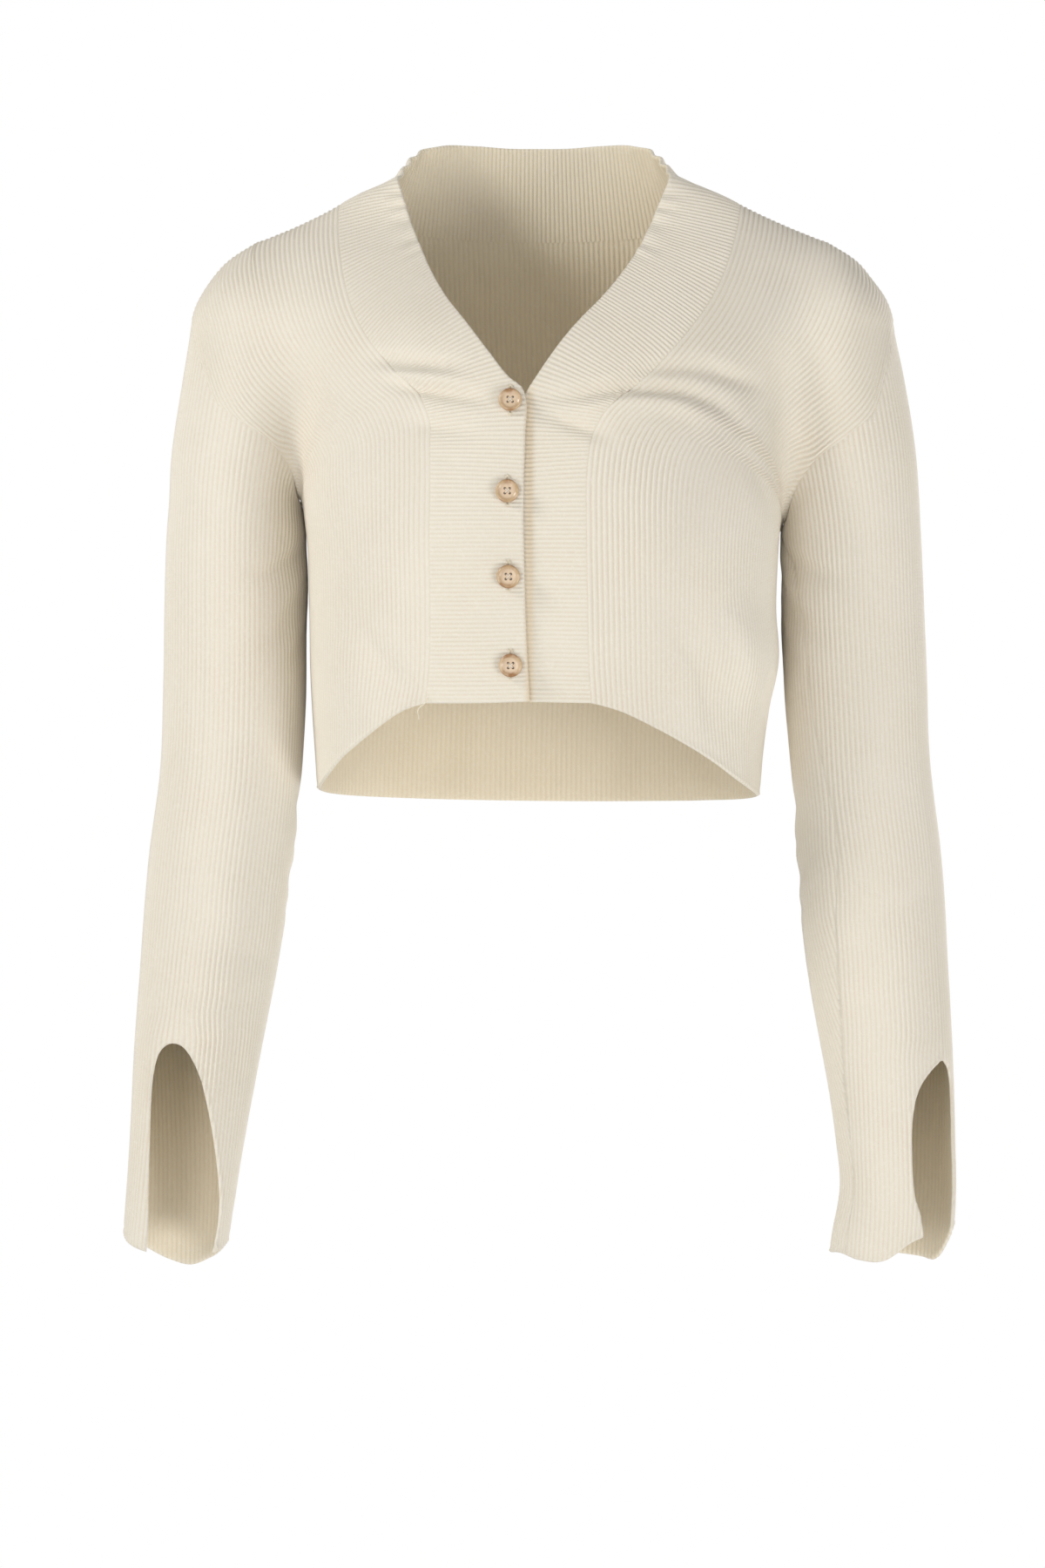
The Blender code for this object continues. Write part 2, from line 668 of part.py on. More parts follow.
def sleeve_points(side):
    """Outer points of a sleeve, a row for each step down, the way out, and the last whole row."""
    upper = np.linspace(UNDERARM[side], SLIT_TOP[side], SLEEVE_ROWS + 1)
    slit = SLIT_TOP[side] - np.array(SLIT_ROWS[1:], float)
    heights = np.concatenate([upper, slit, [CUFF_NOMINAL]])
    drop = np.maximum(SLIT_TOP[side] - heights, 0)
    done = np.clip((UNDERARM[side] - heights) / (UNDERARM[side] - SLIT_TOP[side]), 0, 1)
    edges = smooth(SLIT[side][:, 0], SLIT[side][:, 1:], drop)
    step = 360 / ARMHOLE_STEPS
    first_step = round(edges[0, 0] / step)
    edges += ((first_step * step - edges[0]) * (1 - ease(done)[:, None]))
    shares = np.linspace(0, 1, ARMHOLE_STEPS + 1)
    turn = edges[:, 1:] + (edges[:, :1] + 360 - edges[:, 1:]) * shares
    turn = turn % 360
    folded = np.minimum(turn, 360 - turn)
    rise = (ARMHOLE_TOP - UNDERARM[side]) * (1 - smooth(ARMHOLE[:, 0], ARMHOLE[:, 1], folded))
    cuff = smooth(CUFF_EDGE[side][:, 0], CUFF_EDGE[side][:, 1], turn) - CUFF_NOMINAL
    z = heights[:, None] + rise * ((1 - done) ** 1.5)[:, None]
    z = z + cuff * (drop / (SLIT_TOP[side] - CUFF_NOMINAL))[:, None]
    grid = settle(sleeve_shape(side), on_arm(side, turn, z), 10)
    normals = unit(slope(sleeve_shape(side), grid))
    around = np.stack([turn * ARM_MM_PER_DEGREE, z], -1)
    creases = [([(a * ARM_MM_PER_DEGREE, h) for a, h in line], depth, width)
               for line, depth, width in SLEEVE_CREASES]
    shift = crease_shift(around, creases) * ease(done / SHIFT_FADE)[:, None]
    grid = grid + normals * shift[..., None]
    hole = part_of(armhole(side), (first_step + np.arange(ARMHOLE_STEPS + 1)) % ARMHOLE_STEPS)
    make_room(grid, [join(grid, normals, (0, slice(None)), (1, slice(None)), hole)])
    return grid, normals, SLEEVE_ROWS


def grid_normals(grid):
    along_rows = np.gradient(grid, axis=0)
    across = np.gradient(grid, axis=1)
    return unit(np.cross(across, along_rows))


def band_points(side):
    """Outer points of one band, a row for each half rib from the hem, and the way out."""
    counts = [HALF_RIBS_CHEST] * FRONT_ROWS + [HALF_RIBS_NECK] * BACK_NECK_STEPS
    seam = subdivided(band_seam(side), counts)
    whole = np.concatenate([[0], np.cumsum(counts)])
    stations = np.interp(np.arange(whole[-1] + 1), whole, band_shares(side))
    shoulder = band_line(side)[1]
    table = BAND_STATIONS[side]
    free = np.concatenate([on_front(BAND_EDGE_CHEST[side]), BAND_EDGE_NECK[side]])
    free = along(free, smooth(table[:, 0], table[:, 1], stations))
    w = np.linspace(0, 1, BAND_ACROSS + 1)[None, :, None]
    ruled = seam.points[:, None] * (1 - w) + free[:, None] * w
    standing = ease((stations / shoulder - BAND_LEAVES) / (BAND_STANDS - BAND_LEAVES))
    standing = standing[:, None, None]
    grid = settle(body_shape, ruled) * (1 - standing) + ruled * standing
    normals = grid_normals(grid)
    normals *= np.sign((normals * slope(body_shape, grid)).sum((1, 2), keepdims=True))
    shift = chest_shift(grid[..., [0, 2]]) * ease((1 - stations / shoulder) / SHIFT_FADE)[:, None]
    lap = LAP_LIFT[side] * ease(w[..., 0] / LAP_REACH)
    lap = lap * ease((LAP_NONE - grid[:, :1, 2]) / (LAP_NONE - LAP_FULL))
    grid = grid + normals * (shift + lap)[..., None]
    middle = seam_of(grid[-1], normals[-1])
    make_room(grid, [
        join(grid, normals, (-1, slice(None)), (-2, slice(None)), middle),
        join(grid, normals, (slice(None), 0), (slice(None), 1), seam),
    ])
    return grid, normals, whole


# Solids.

def material(name, colour, roughness):
    made = bpy.data.materials.new(name)
    made.use_nodes = True
    shader = made.node_tree.nodes["Principled BSDF"]
    shader.inputs["Base Color"].default_value = (*colour, 1)
    shader.inputs["Roughness"].default_value = roughness
    shader.inputs["Metallic"].default_value = 0
    return made


def add_object(name, points, faces, finish):
    """A mesh object from points in millimetres, its faces turned outwards."""
    mesh = bpy.data.meshes.new(name)
    mesh.from_pydata([tuple(p) for p in np.asarray(points) * MM], [], faces)
    shape = bmesh.new()
    shape.from_mesh(mesh)
    if shape.calc_volume(signed=True) < 0:
        bmesh.ops.reverse_faces(shape, faces=shape.faces)
    shape.to_mesh(mesh)
    shape.free()
    mesh.shade_smooth()
    mesh.set_sharp_from_angle(angle=math.radians(SHARP_ABOVE))
    mesh.materials.append(finish)
    made = bpy.data.objects.new(name, mesh)
    bpy.context.scene.collection.objects.link(made)
    return made


def numbered(rows, columns, start, closed_to):
    """Numbers of a grid's points.  Rows up to closed_to end on the point they begin with."""
    numbers = start + np.arange(rows * columns).reshape(rows, columns)
    numbers[:closed_to + 1, -1] = numbers[:closed_to + 1, 0]
    return numbers


def add_wall(name, outer, inner, finish, closed_to=-1, kept=None):
    """A closed wall between two grids.  The inner one may have only the kept rows."""
    rows, columns = outer.shape[:2]
    kept = np.arange(rows) if kept is None else kept
    out = numbered(rows, columns, 0, closed_to)
    into = numbered(inner.shape[0], columns, rows * columns, closed_to)
    faces = []
    for grid, turned in ((out, False), (into, True)):
        for r in range(len(grid) - 1):
            for c in range(columns - 1):
                face = [grid[r, c], grid[r, c + 1], grid[r + 1, c + 1], grid[r + 1, c]]
                faces.append(face[::-1] if turned else face)
    for r, i in ((0, 0), (-1, -1)):
        for c in range(columns - 1):
            face = [out[r, c], into[i, c], into[i, c + 1], out[r, c + 1]]
            faces.append(face if r == 0 else face[::-1])
    for c in (0, -1):
        for i in range(len(into) - 1):
            if kept[i + 1] <= closed_to:
                continue
            run = out[kept[i]:kept[i + 1] + 1, c]
            for face in edge_fan(run, into[i, c], into[i + 1, c]):
                faces.append(face[::-1] if c == 0 else face)
    points = np.concatenate([outer.reshape(-1, 3), inner.reshape(-1, 3)])
    used = sorted({int(n) for face in faces for n in face})
    renumber = {old: new for new, old in enumerate(used)}
    faces = [[renumber[int(n)] for n in face] for face in faces]
    return add_object(name, points[used], faces, finish)


def edge_fan(line, near, far):
    """Faces between a run of outer points and the two inner points behind its ends."""
    if len(line) == 2:
        return [[line[0], near, far, line[1]]]
    middle = len(line) // 2
    fan = [[line[k], near, line[k + 1]] for k in range(middle)]
    fan.append([line[middle], near, far])
    fan += [[line[k], far, line[k + 1]] for k in range(middle, len(line) - 1)]
    return fan


def make_front(side, name, finish):
    outer, normals = front_points(side)
    add_wall(name, outer, outer - normals * WALL, finish)


def make_back(finish):
    outer, normals = back_points()
    add_wall("back", outer, outer - normals * WALL, finish)


def make_sleeve(side, name, finish):
    outer, normals, closed_to = sleeve_points(side)
    add_wall(name, outer, outer - normals * WALL, finish, closed_to)


def make_band(side, name, finish):
    outer, normals, kept = band_points(side)
    inner = (outer - normals * BAND_WALL)[kept]
    ribs = RIB_HEIGHT * (np.arange(len(outer)) % 2)[:, None] * np.ones(BAND_ACROSS + 1)
    ribs[:, 0] *= RIB_AT_SEAM
    add_wall(name, outer + normals * ribs[..., None], inner, finish, kept=kept)


# Buttons.

def lathe(profile, sides):
    """Points and faces of a solid turned about Z from radii and heights, bottom to top."""
    angles = np.arange(sides) * 2 * math.pi / sides
    ring = np.stack([np.cos(angles), np.sin(angles)], -1)
    points = [(0, 0, profile[0][1])]
    for radius, height in profile:
        points += [(x * radius, y * radius, height) for x, y in ring]
    points.append((0, 0, profile[-1][1]))
    faces = []
    for k in range(sides):
        nxt = (k + 1) % sides
        faces.append([0, 1 + nxt, 1 + k])
        for level in range(len(profile) - 1):
            low, high = 1 + level * sides, 1 + (level + 1) * sides
            faces.append([low + k, low + nxt, high + nxt, high + k])
        top = 1 + (len(profile) - 1) * sides
        faces.append([top + k, top + nxt, len(points) - 1])
    return points, faces


def button_mesh(finish):
    """A flat button with a raised rim and four holes, its back on Z = 0."""
    disc = add_object("button_disc", *lathe(BUTTON_PROFILE, BUTTON_SIDES), finish)
    bore = ((BUTTON_HOLE_RADIUS, -BUTTON_OVERCUT),
            (BUTTON_HOLE_RADIUS, BUTTON_PROFILE[-1][1] + BUTTON_OVERCUT))
    points, faces = [], []
    for k in range(BUTTON_HOLES):
        angle = math.pi * (2 * k + 1) / BUTTON_HOLES
        middle = np.array([math.cos(angle), math.sin(angle), 0]) * BUTTON_HOLE_SPACING / 2**0.5
        hole, sides = lathe(bore, BUTTON_HOLE_SIDES)
        faces += [[n + len(points) for n in face] for face in sides]
        points += [tuple(np.array(p) + middle) for p in hole]
    holes = add_object("button_holes", points, faces, finish)
    holes.hide_render = True
    cut = disc.modifiers.new("holes", "BOOLEAN")
    cut.operation = "DIFFERENCE"
    cut.object = holes
    bpy.context.view_layer.update()
    seen = disc.evaluated_get(bpy.context.evaluated_depsgraph_get())
    mesh = bpy.data.meshes.new_from_object(seen)
    mesh.name = "button"
    for helper in (disc, holes):
        bpy.data.objects.remove(helper)
    return mesh


def make_buttons(finish):
    mesh = button_mesh(finish)
    for number, place in enumerate(BUTTONS, 1):
        seat = on_front(np.array([place]))[0]
        flat = seat[[0, 2]]
        out = unit(slope(body_shape, seat))
        rise = chest_shift(flat) + LAP_LIFT[RIGHT] + RIB_HEIGHT + BUTTON_GAP
        across = unit(np.cross((0, 0, 1), out))
        made = bpy.data.objects.new(f"button_{number}", mesh)
        facing = np.eye(4)
        facing[:3, :3] = np.stack([across, np.cross(out, across), out], -1)
        facing[:3, 3] = (seat + out * rise) * MM
        made.matrix_world = Matrix(facing.tolist())
        bpy.context.scene.collection.objects.link(made)


def main():
    for old in list(bpy.data.objects):
        bpy.data.objects.remove(old)
    knit = {name: material(name, IVORY, 0.9) for name in ("fronts", "back", "sleeves", "bands")}
    make_front(RIGHT, "front_right", knit["fronts"])
    make_front(LEFT, "front_left", knit["fronts"])
    make_back(knit["back"])
    make_sleeve(RIGHT, "sleeve_right", knit["sleeves"])
    make_sleeve(LEFT, "sleeve_left", knit["sleeves"])
    make_band(RIGHT, "band_right", knit["bands"])
    make_band(LEFT, "band_left", knit["bands"])
    make_buttons(material("buttons", HORN, 0.35))


if __name__ == "__main__":
    main()
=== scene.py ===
"""The looks of the cropped V-neck cardigan: ribbed knit shells, bands, buttons and stitching.

Sizes are in millimetres and turn into metres when each mesh is made.  The cloth follows the
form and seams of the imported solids, at a finer step, with every rib raised.
"""

import math
from collections import namedtuple
from functools import partial

import bmesh
import bpy
import numpy as np
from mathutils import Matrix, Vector


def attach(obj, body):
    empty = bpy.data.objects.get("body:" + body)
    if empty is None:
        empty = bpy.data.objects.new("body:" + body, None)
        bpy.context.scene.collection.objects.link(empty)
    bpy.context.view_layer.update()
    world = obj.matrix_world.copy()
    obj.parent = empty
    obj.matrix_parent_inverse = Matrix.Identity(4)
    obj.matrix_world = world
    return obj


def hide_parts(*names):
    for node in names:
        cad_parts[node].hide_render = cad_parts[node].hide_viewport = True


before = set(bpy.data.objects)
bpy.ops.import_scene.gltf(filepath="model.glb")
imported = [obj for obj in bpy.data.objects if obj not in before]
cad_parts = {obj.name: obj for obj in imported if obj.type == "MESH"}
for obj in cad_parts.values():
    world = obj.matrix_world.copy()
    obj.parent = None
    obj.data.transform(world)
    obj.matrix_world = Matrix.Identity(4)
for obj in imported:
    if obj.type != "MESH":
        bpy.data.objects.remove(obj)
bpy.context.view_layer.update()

MM = 0.001
WALL = 2.2
BAND_WALL = 2.4
SEAM_GAP = 0.02
UNDERARM_GAP = 0.8

RIGHT, LEFT = -1, 1

# The trunk, one section a row.  Tables given from the top down are turned to run upwards.
TRUNK = np.array([
    # height, right edge, left edge, front, back, squareness
    (40, -62, 56, -34, 60, 2.0),
    (25, -77, 72, -32, 62, 2.0),
    (15, -85, 83, -30, 63, 2.0),
    (5, -104, 103, -26, 64, 2.0),
    (-5, -120, 121, -26, 65, 2.0),
    (-15, -140, 143, -30, 66, 2.0),
    (-25, -163, 166, -37, 68, 2.0),
    (-35, -177, 180, -46, 72, 2.0),
    (-45, -180, 183, -55, 76, 2.0),
    (-60, -174, 177, -68, 81, 2.05),
    (-80, -160, 163, -84, 86, 2.1),
    (-105, -145, 148, -97, 90, 2.2),
    (-135, -139, 142, -105, 92.5, 2.35),
    (-172, -136, 139, -110, 93, 2.5),
    (-200, -133, 136.5, -112, 92, 2.5),
    (-235, -132, 135, -110, 90, 2.5),
    (-265, -131.5, 136.5, -106, 88.5, 2.5),
    (-290, -130.5, 131.5, -102, 87, 2.45),
    (-315, -129, 128, -99, 86.5, 2.4),
    (-345, -127, 125.5, -97, 86, 2.4),
])[::-1]
TRUNK_MIDDLE_Y = 5

# The arms, one section a row, with a round top.  Across is measured from X = 0 outwards.
# height, centre across, centre in depth, half width, half depth
ARMS = {
    RIGHT: np.array([
        (-75, 161.5, 6, 39.0, 45),
        (-105, 166.0, 6, 39.5, 46),
        (-150, 173.2, 6, 38.7, 45),
        (-174, 176.0, 6, 37.0, 43),
        (-190, 176.0, 6, 38.2, 43),
        (-230, 175.7, 7, 40.0, 42),
        (-275, 175.6, 8, 41.0, 42),
        (-325, 177.6, 8, 40.5, 42),
        (-375, 182.8, 6, 41.6, 41),
        (-435, 189.3, -2, 39.3, 39),
        (-485, 195.5, -10, 36.2, 36),
        (-535, 200.9, -18, 32.7, 33),
        (-585, 206.2, -25, 30.3, 31),
        (-625, 210.2, -29, 28.6, 30),
    ])[::-1],
    LEFT: np.array([
        (-75, 164.0, 6, 39.5, 45),
        (-105, 169.0, 6, 40.5, 46),
        (-150, 176.5, 6, 40.0, 45),
        (-188, 179.8, 6, 38.9, 43),
        (-230, 179.8, 7, 41.0, 42),
        (-275, 181.6, 8, 41.0, 42),
        (-325, 184.6, 8, 40.0, 42),
        (-375, 189.0, 6, 41.6, 41),
        (-435, 193.2, -2, 40.4, 39),
        (-485, 198.3, -10, 37.3, 36),
        (-535, 202.6, -18, 33.8, 33),
        (-565, 203.8, -22, 32.9, 32),
        (-590, 200.8, -25, 34.5, 32),
        (-625, 197.0, -30, 36.2, 32),
    ])[::-1],
}
UNDERARM = {RIGHT: -174, LEFT: -188}

# How widely arm and trunk blend: height above the underarm, width of the blend.
ARMHOLE_BLEND = np.array([(-14, 0), (0, 6), (22, 16), (52, 26), (92, 24), (140, 14)])

# Armhole seam: angle round the arm from its outer side, share of the way down to the underarm.
ARMHOLE_TOP = -69
ARMHOLE = np.array([
    (0, 0), (20, 0.08), (45, 0.27), (67, 0.475), (80, 0.53), (96, 0.60), (116, 0.67),
    (145, 0.83), (166, 0.965), (180, 1.0),
])
# How fast the rows of a sleeve lose the slope of its armhole.
RISE_FADE = 1.5
# Beneath the arm, from these angles on, the seam is drawn in and its gap widens.
UNDERARM_FOLD = 1.5
FOLD_FROM = 150
WIDER_FROM = 140
SIDE_SEAM_Y = 5
SIDE_HEM = {RIGHT: -338, LEFT: -342}
SHOULDER_SEAM_LIFT = 24

# Points in which the hem of a front, that of the back and a shoulder seam are laid out.
FRONT_HEM_POINTS, BACK_HEM_POINTS, SHOULDER_POINTS = 90, 120, 60
# Hem of the fronts, arched up to the bands: across, height.
FRONT_HEM = np.array([
    (-127.5, -338), (-121, -330), (-112, -320), (-102, -312), (-92, -304.5), (-77, -294.5),
    (-64, -290.5), (-17, -289.5), (28, -290.5), (43, -294.5), (63, -303.5), (81, -313),
    (98, -323), (112, -333), (126, -342),
])
BACK_HEM_DIP = 5

# Seam between bands and fronts on the chest, from the hem up: across, height.
BAND_SEAM = {
    RIGHT: np.array([
        (-64, -290.5), (-61.5, -268), (-60.5, -239), (-60.4, -191), (-60.8, -153),
        (-62.4, -131), (-68, -118), (-77, -109), (-88, -97), (-98, -83), (-105.5, -68),
        (-110, -53), (-113, -37),
    ]),
    LEFT: np.array([
        (28, -290.5), (26.5, -268), (25.8, -239), (25, -191), (25.6, -160), (28, -144),
        (34, -131), (47, -118), (60.3, -106.5), (74, -92), (86, -77), (95.5, -63),
        (102.5, -49), (108, -34),
    ]),
}
# From the shoulder seam round to the middle of the back: across, depth, height.
NECK_SEAM = np.array([
    (113.5, 7, -2), (107, 28, -6), (90, 45, -11), (64, 56, -15), (33, 61, -17), (0, 62, -18),
])

# Free edge of the bands on the chest, from the hem up: across, height.
BAND_EDGE_CHEST = {
    RIGHT: np.array([
        (-6, -289.5), (-7.7, -258), (-9.1, -210), (-9.4, -172), (-8.4, -140), (-8, -123),
        (-10, -116), (-17, -110), (-28.2, -95.5), (-41.6, -77), (-52.5, -62), (-61.5, -45),
        (-68, -29),
    ]),
    LEFT: np.array([
        (-28, -289.5), (-26.7, -258), (-25.6, -210), (-25.4, -172), (-24.8, -149),
        (-20.5, -136), (-7, -115), (10, -89), (23, -72.5), (36.3, -58.5), (49, -42),
        (57.5, -27.5),
    ]),
}
# Free edge where it stands round the neck: across, depth, height.
BAND_EDGE_NECK = {
    RIGHT: np.array([
        (-75, -20, -10), (-78, -4, 6), (-78, 12, 20), (-72.5, 28, 31), (-59, 42, 37),
        (-39, 52, 38), (-16, 57, 37), (-1, 58, 37),
    ]),
    LEFT: np.array([
        (65, -20, -12), (70, -6, 4), (72, 10, 20), (68, 26, 31), (56, 41, 37),
        (38, 51, 38), (15, 57, 37), (-1, 58, 37),
    ]),
}
BAND_MIDDLE_X = -1
# Where a band leaves the form and where it stands free, in shares of the way to the shoulder.
BAND_LEAVES = 0.92
BAND_STANDS = 1.22

# Points in which the long edges of a band are measured.
BAND_FINE = 1600
# Where the ribs cross a band: share of the seam's length, share of the edge's length.
BAND_STATIONS = {
    RIGHT: np.array([
        (0, 0), (0.208, 0.21), (0.304, 0.308), (0.335, 0.354), (0.378, 0.436), (0.417, 0.507),
        (0.4725, 0.578), (0.541, 0.629), (0.62, 0.678), (0.711, 0.735), (0.82, 0.825), (1, 1),
    ]),
    LEFT: np.array([
        (0, 0), (0.2, 0.208), (0.293, 0.305), (0.3355, 0.3785), (0.372, 0.4475), (0.405, 0.498),
        (0.4545, 0.546), (0.509, 0.6), (0.5785, 0.65), (0.717, 0.745), (0.82, 0.83), (1, 1),
    ]),
}

# The right front laps over the left one: how far each band moves out or in.
LAP_LIFT = {RIGHT: 1.6, LEFT: -1.8}
LAP_REACH = 0.62
LAP_FULL = -108
LAP_NONE = -70

# Wrist slits: drop below the top of the slit, angle of each edge round the arm.
SLIT_TOP = {RIGHT: -481.5, LEFT: -492}
SLIT = {
    RIGHT: np.array([
        (0, 69, 69), (0.6, 64.4, 74.4), (2, 60.5, 79), (5, 56, 84), (10, 52.5, 90), (20, 49.7, 99),
        (36, 49.2, 109.5), (55, 51, 121), (72, 53, 131), (93, 56.5, 142), (108, 59, 145),
        (130, 60, 140),
    ]),
    LEFT: np.array([
        (0, 35, 35), (0.6, 32.2, 39.6), (2, 29.5, 43), (5, 25, 49.5), (10, 20.5, 58),
        (20, 17.7, 68.5), (36, 17.3, 75.5), (55, 17.6, 78), (72, 17.5, 78.5), (84, 17.5, 76),
        (98, 18, 68), (130, 18, 60),
    ]),
}

# Cuff edge: angle round the arm, height.
CUFF_NOMINAL = -604
CUFF_EDGE = {
    RIGHT: np.array([(0, -589), (30, -595), (55, -598), (95, -601), (143, -600), (180, -595),
                     (225, -606), (254, -611), (278, -608), (315, -599), (360, -589)]),
    LEFT: np.array([(0, -585), (17, -587), (75, -593), (100, -603), (125, -603), (150, -600),
                    (180, -601), (225, -603), (270, -604), (305, -606), (322, -607),
                    (342, -596), (360, -585)]),
}

# Fullness of the chest: across, height, how far out, reach across, reach in height.
FULLNESS = (
    (-70, -200, 4.0, 38, 46),
    (74, -200, 4.0, 38, 46),
)

# Creases fade towards a panel's seams: shares of its height at the top, of its width at a side.
SHIFT_FADE = 0.12
FRONT_SIDE_FADE = 0.2
BACK_SIDE_FADE = 0.1

# A crease: steps in which its line is measured, points of the line before that, how far from
# its ends its taper starts, as a share, and how round the taper is.
CREASE_STEPS, CREASE_FINE = 24, 60
CREASE_END, CREASE_TAPER = 0.06, 0.7
# Creases of the fronts: points across and in height, how far out, half width.
FRONT_CREASES = (
    (((50, -109), (66, -104), (88, -103), (108, -107), (120, -110)), -4.2, 4.8),
    (((-4, -120), (18, -119), (46, -116), (70, -116), (84, -117), (102, -124), (112, -135)),
     -4.4, 4.6),
    (((24, -127), (46, -123), (66, -123), (84, -126), (98, -133)), 2.6, 4.4),
    (((4, -130), (20, -136), (38, -142)), -4.0, 4.6),
    (((-84, -111), (-60, -116), (-28, -123)), -4.4, 4.6),
    (((-82, -106), (-60, -109), (-42, -113)), 2.0, 3.6),
    (((-94, -97), (-72, -100), (-48, -104)), -3.6, 4.6),
    (((-72, -134), (-54, -138), (-38, -140)), -2.0, 5.0),
    (((78, -246), (98, -276), (104, -312)), -3.5, 12.0),
    (((104, -232), (116, -262), (122, -290)), 3.0, 13.0),
    (((-100, -250), (-86, -272), (-66, -284)), -2.2, 10.0),
    (((-92, -306), (-104, -280), (-110, -250)), 2.2, 13.0),
    (((70, -98), (88, -97), (104, -104), (116, -112)), -1.0, 3.2),
    (((20, -116), (56, -113), (82, -116), (104, -130)), -1.1, 3.0),
    (((10, -126), (32, -133), (50, -138)), -0.9, 3.4),
    (((34, -122), (60, -121), (84, -129), (98, -146)), 0.8, 4.0),
    (((-88, -97), (-66, -100), (-46, -103)), -0.6, 3.0),
    (((-86, -106), (-66, -110), (-44, -112)), 0.9, 3.6),
    (((-80, -113), (-60, -117), (-40, -120)), -0.8, 3.4),
    (((96, -238), (108, -266), (112, -300)), -1.0, 4.5),
    (((84, -262), (94, -290), (97, -318)), -0.7, 4.0),
    (((-106, -236), (-92, -262), (-74, -284)), -0.7, 4.5),
    (((112, -150), (124, -166), (132, -186)), -1.2, 5.0),
    (((-112, -140), (-124, -158), (-131, -176)), -1.0, 5.0),
)
BACK_CREASES = (
    (((-92, -150), (-50, -166), (0, -170), (52, -165), (90, -148)), -2.8, 11.0),
    (((-104, -300), (-62, -268), (-20, -262)), -3.6, 9.0),
    (((102, -290), (66, -262), (24, -257)), -3.2, 9.5),
    (((-60, -340), (-52, -302), (-56, -268)), 3.4, 11.0),
    (((44, -340), (50, -304), (46, -262)), 3.0, 12.0),
    (((-128, -176), (-104, -198), (-84, -216)), -2.8, 7.0),
    (((130, -182), (106, -200), (88, -222)), -2.4, 7.5),
    (((-34, -96), (0, -101), (38, -97)), -1.5, 6.5),
    (((-96, -232), (-58, -244), (-22, -239)), 2.0, 8.0),
    (((20, -226), (58, -236), (96, -228)), 1.8, 9.0),
    (((84, -318), (98, -338), (102, -352)), -2.4, 8.0),
)
# Creases of a sleeve: points by angle and height, how far out, half width.
ARM_MM_PER_DEGREE = 0.72
SLEEVE_CREASES = (
    (((176, -200), (142, -214), (112, -224)), -2.4, 8.0),
    (((184, -226), (152, -240), (126, -252)), -1.8, 8.0),
    (((160, -330), (190, -352), (232, -360)), -2.0, 9.0),
    (((150, -374), (190, -390), (240, -386)), -1.8, 9.0),
    (((60, -404), (100, -426), (150, -434)), -1.2, 11.0),
    (((200, -204), (240, -222), (282, -228)), -2.0, 9.0),
    (((178, -196), (150, -206), (122, -214), (100, -218)), -1.3, 4.0),
    (((182, -214), (158, -228), (136, -240)), -1.0, 4.0),
    (((150, -210), (126, -222), (104, -230)), 0.9, 5.0),
    (((186, -236), (160, -256), (140, -268)), -0.9, 4.5),
    (((150, -350), (178, -368), (210, -372)), -1.0, 5.0),
    (((140, -394), (176, -406), (214, -404)), -0.8, 5.0),
    (((40, -392), (76, -408), (112, -412)), -0.6, 6.0),
    (((52, -440), (92, -456), (140, -458)), -0.6, 6.0),
    (((200, -470), (236, -482), (272, -480)), -0.7, 6.0),
)

# Curves and small helpers.

def ease(t):
    t = np.clip(t, 0, 1)
    return t * t * (3 - 2 * t)


def unit(vectors):
    return vectors / np.maximum(np.linalg.norm(vectors, axis=-1, keepdims=True), 1e-9)


def smooth(knots, values, t):
    """A smooth curve through the values at rising knots, read at t."""
    t = np.clip(np.asarray(t, float), knots[0], knots[-1])
    slopes = np.gradient(values, knots, axis=0)
    i = np.clip(np.searchsorted(knots, t, side="right") - 1, 0, len(knots) - 2)
    span = knots[i + 1] - knots[i]
    s = (t - knots[i]) / span
    if values.ndim > 1:
        s, span = s[..., None], span[..., None]
    return (
        (2 * s**3 - 3 * s**2 + 1) * values[i]
        + (s**3 - 2 * s**2 + s) * span * slopes[i]
        + (3 * s**2 - 2 * s**3) * values[i + 1]
        + (s**3 - s**2) * span * slopes[i + 1]
    )


def columns(table, at):
    """Columns of a table after its first, each read along a smooth curve at some places."""
    return np.moveaxis(smooth(table[:, 0], table[:, 1:].astype(float), at), -1, 0)


def run_of(points):
    """How far along a line of points each of them lies."""
    steps = np.linalg.norm(np.diff(points, axis=0), axis=-1)
    return np.concatenate([[0], np.cumsum(steps)])


def lengths(points):
    """Share of its length at which each point of a line lies."""
    run = run_of(points)
    return run / run[-1]


def along(points, shares, fine=400):
    """Points at the given shares of the length of a smooth line through a few points."""
    line = smooth(lengths(points), points, np.linspace(0, 1, fine))
    run = lengths(line)
    return np.stack([np.interp(shares, run, line[:, i]) for i in range(points.shape[1])], -1)


def respace(points, count):
    """Each row of points spread evenly along its own length."""
    shares = np.linspace(0, 1, count)
    return np.stack([
        np.stack([np.interp(shares, lengths(row), row[:, i]) for i in range(3)], -1)
        for row in points
    ])


# The form.

# A depth before the whole form, and halvings with which its front is found from there.
BEFORE_FORM = -180.0
HALVINGS = 36


def trunk(p):
    """Rough distance of p from the trunk, less than 0 inside."""
    right, left, front, back, power = columns(TRUNK, p[..., 2])
    x = p[..., 0] - (right + left) / 2
    y = p[..., 1] - TRUNK_MIDDLE_Y
    half_width = (left - right) / 2
    half_depth = np.where(y < 0, TRUNK_MIDDLE_Y - front, back - TRUNK_MIDDLE_Y)
    grown = (np.abs(x) / half_width) ** power + (np.abs(y) / half_depth) ** power
    grown = np.maximum(grown, 1e-6) ** (1 / power)
    return np.hypot(x, y) * (1 - 1 / grown)


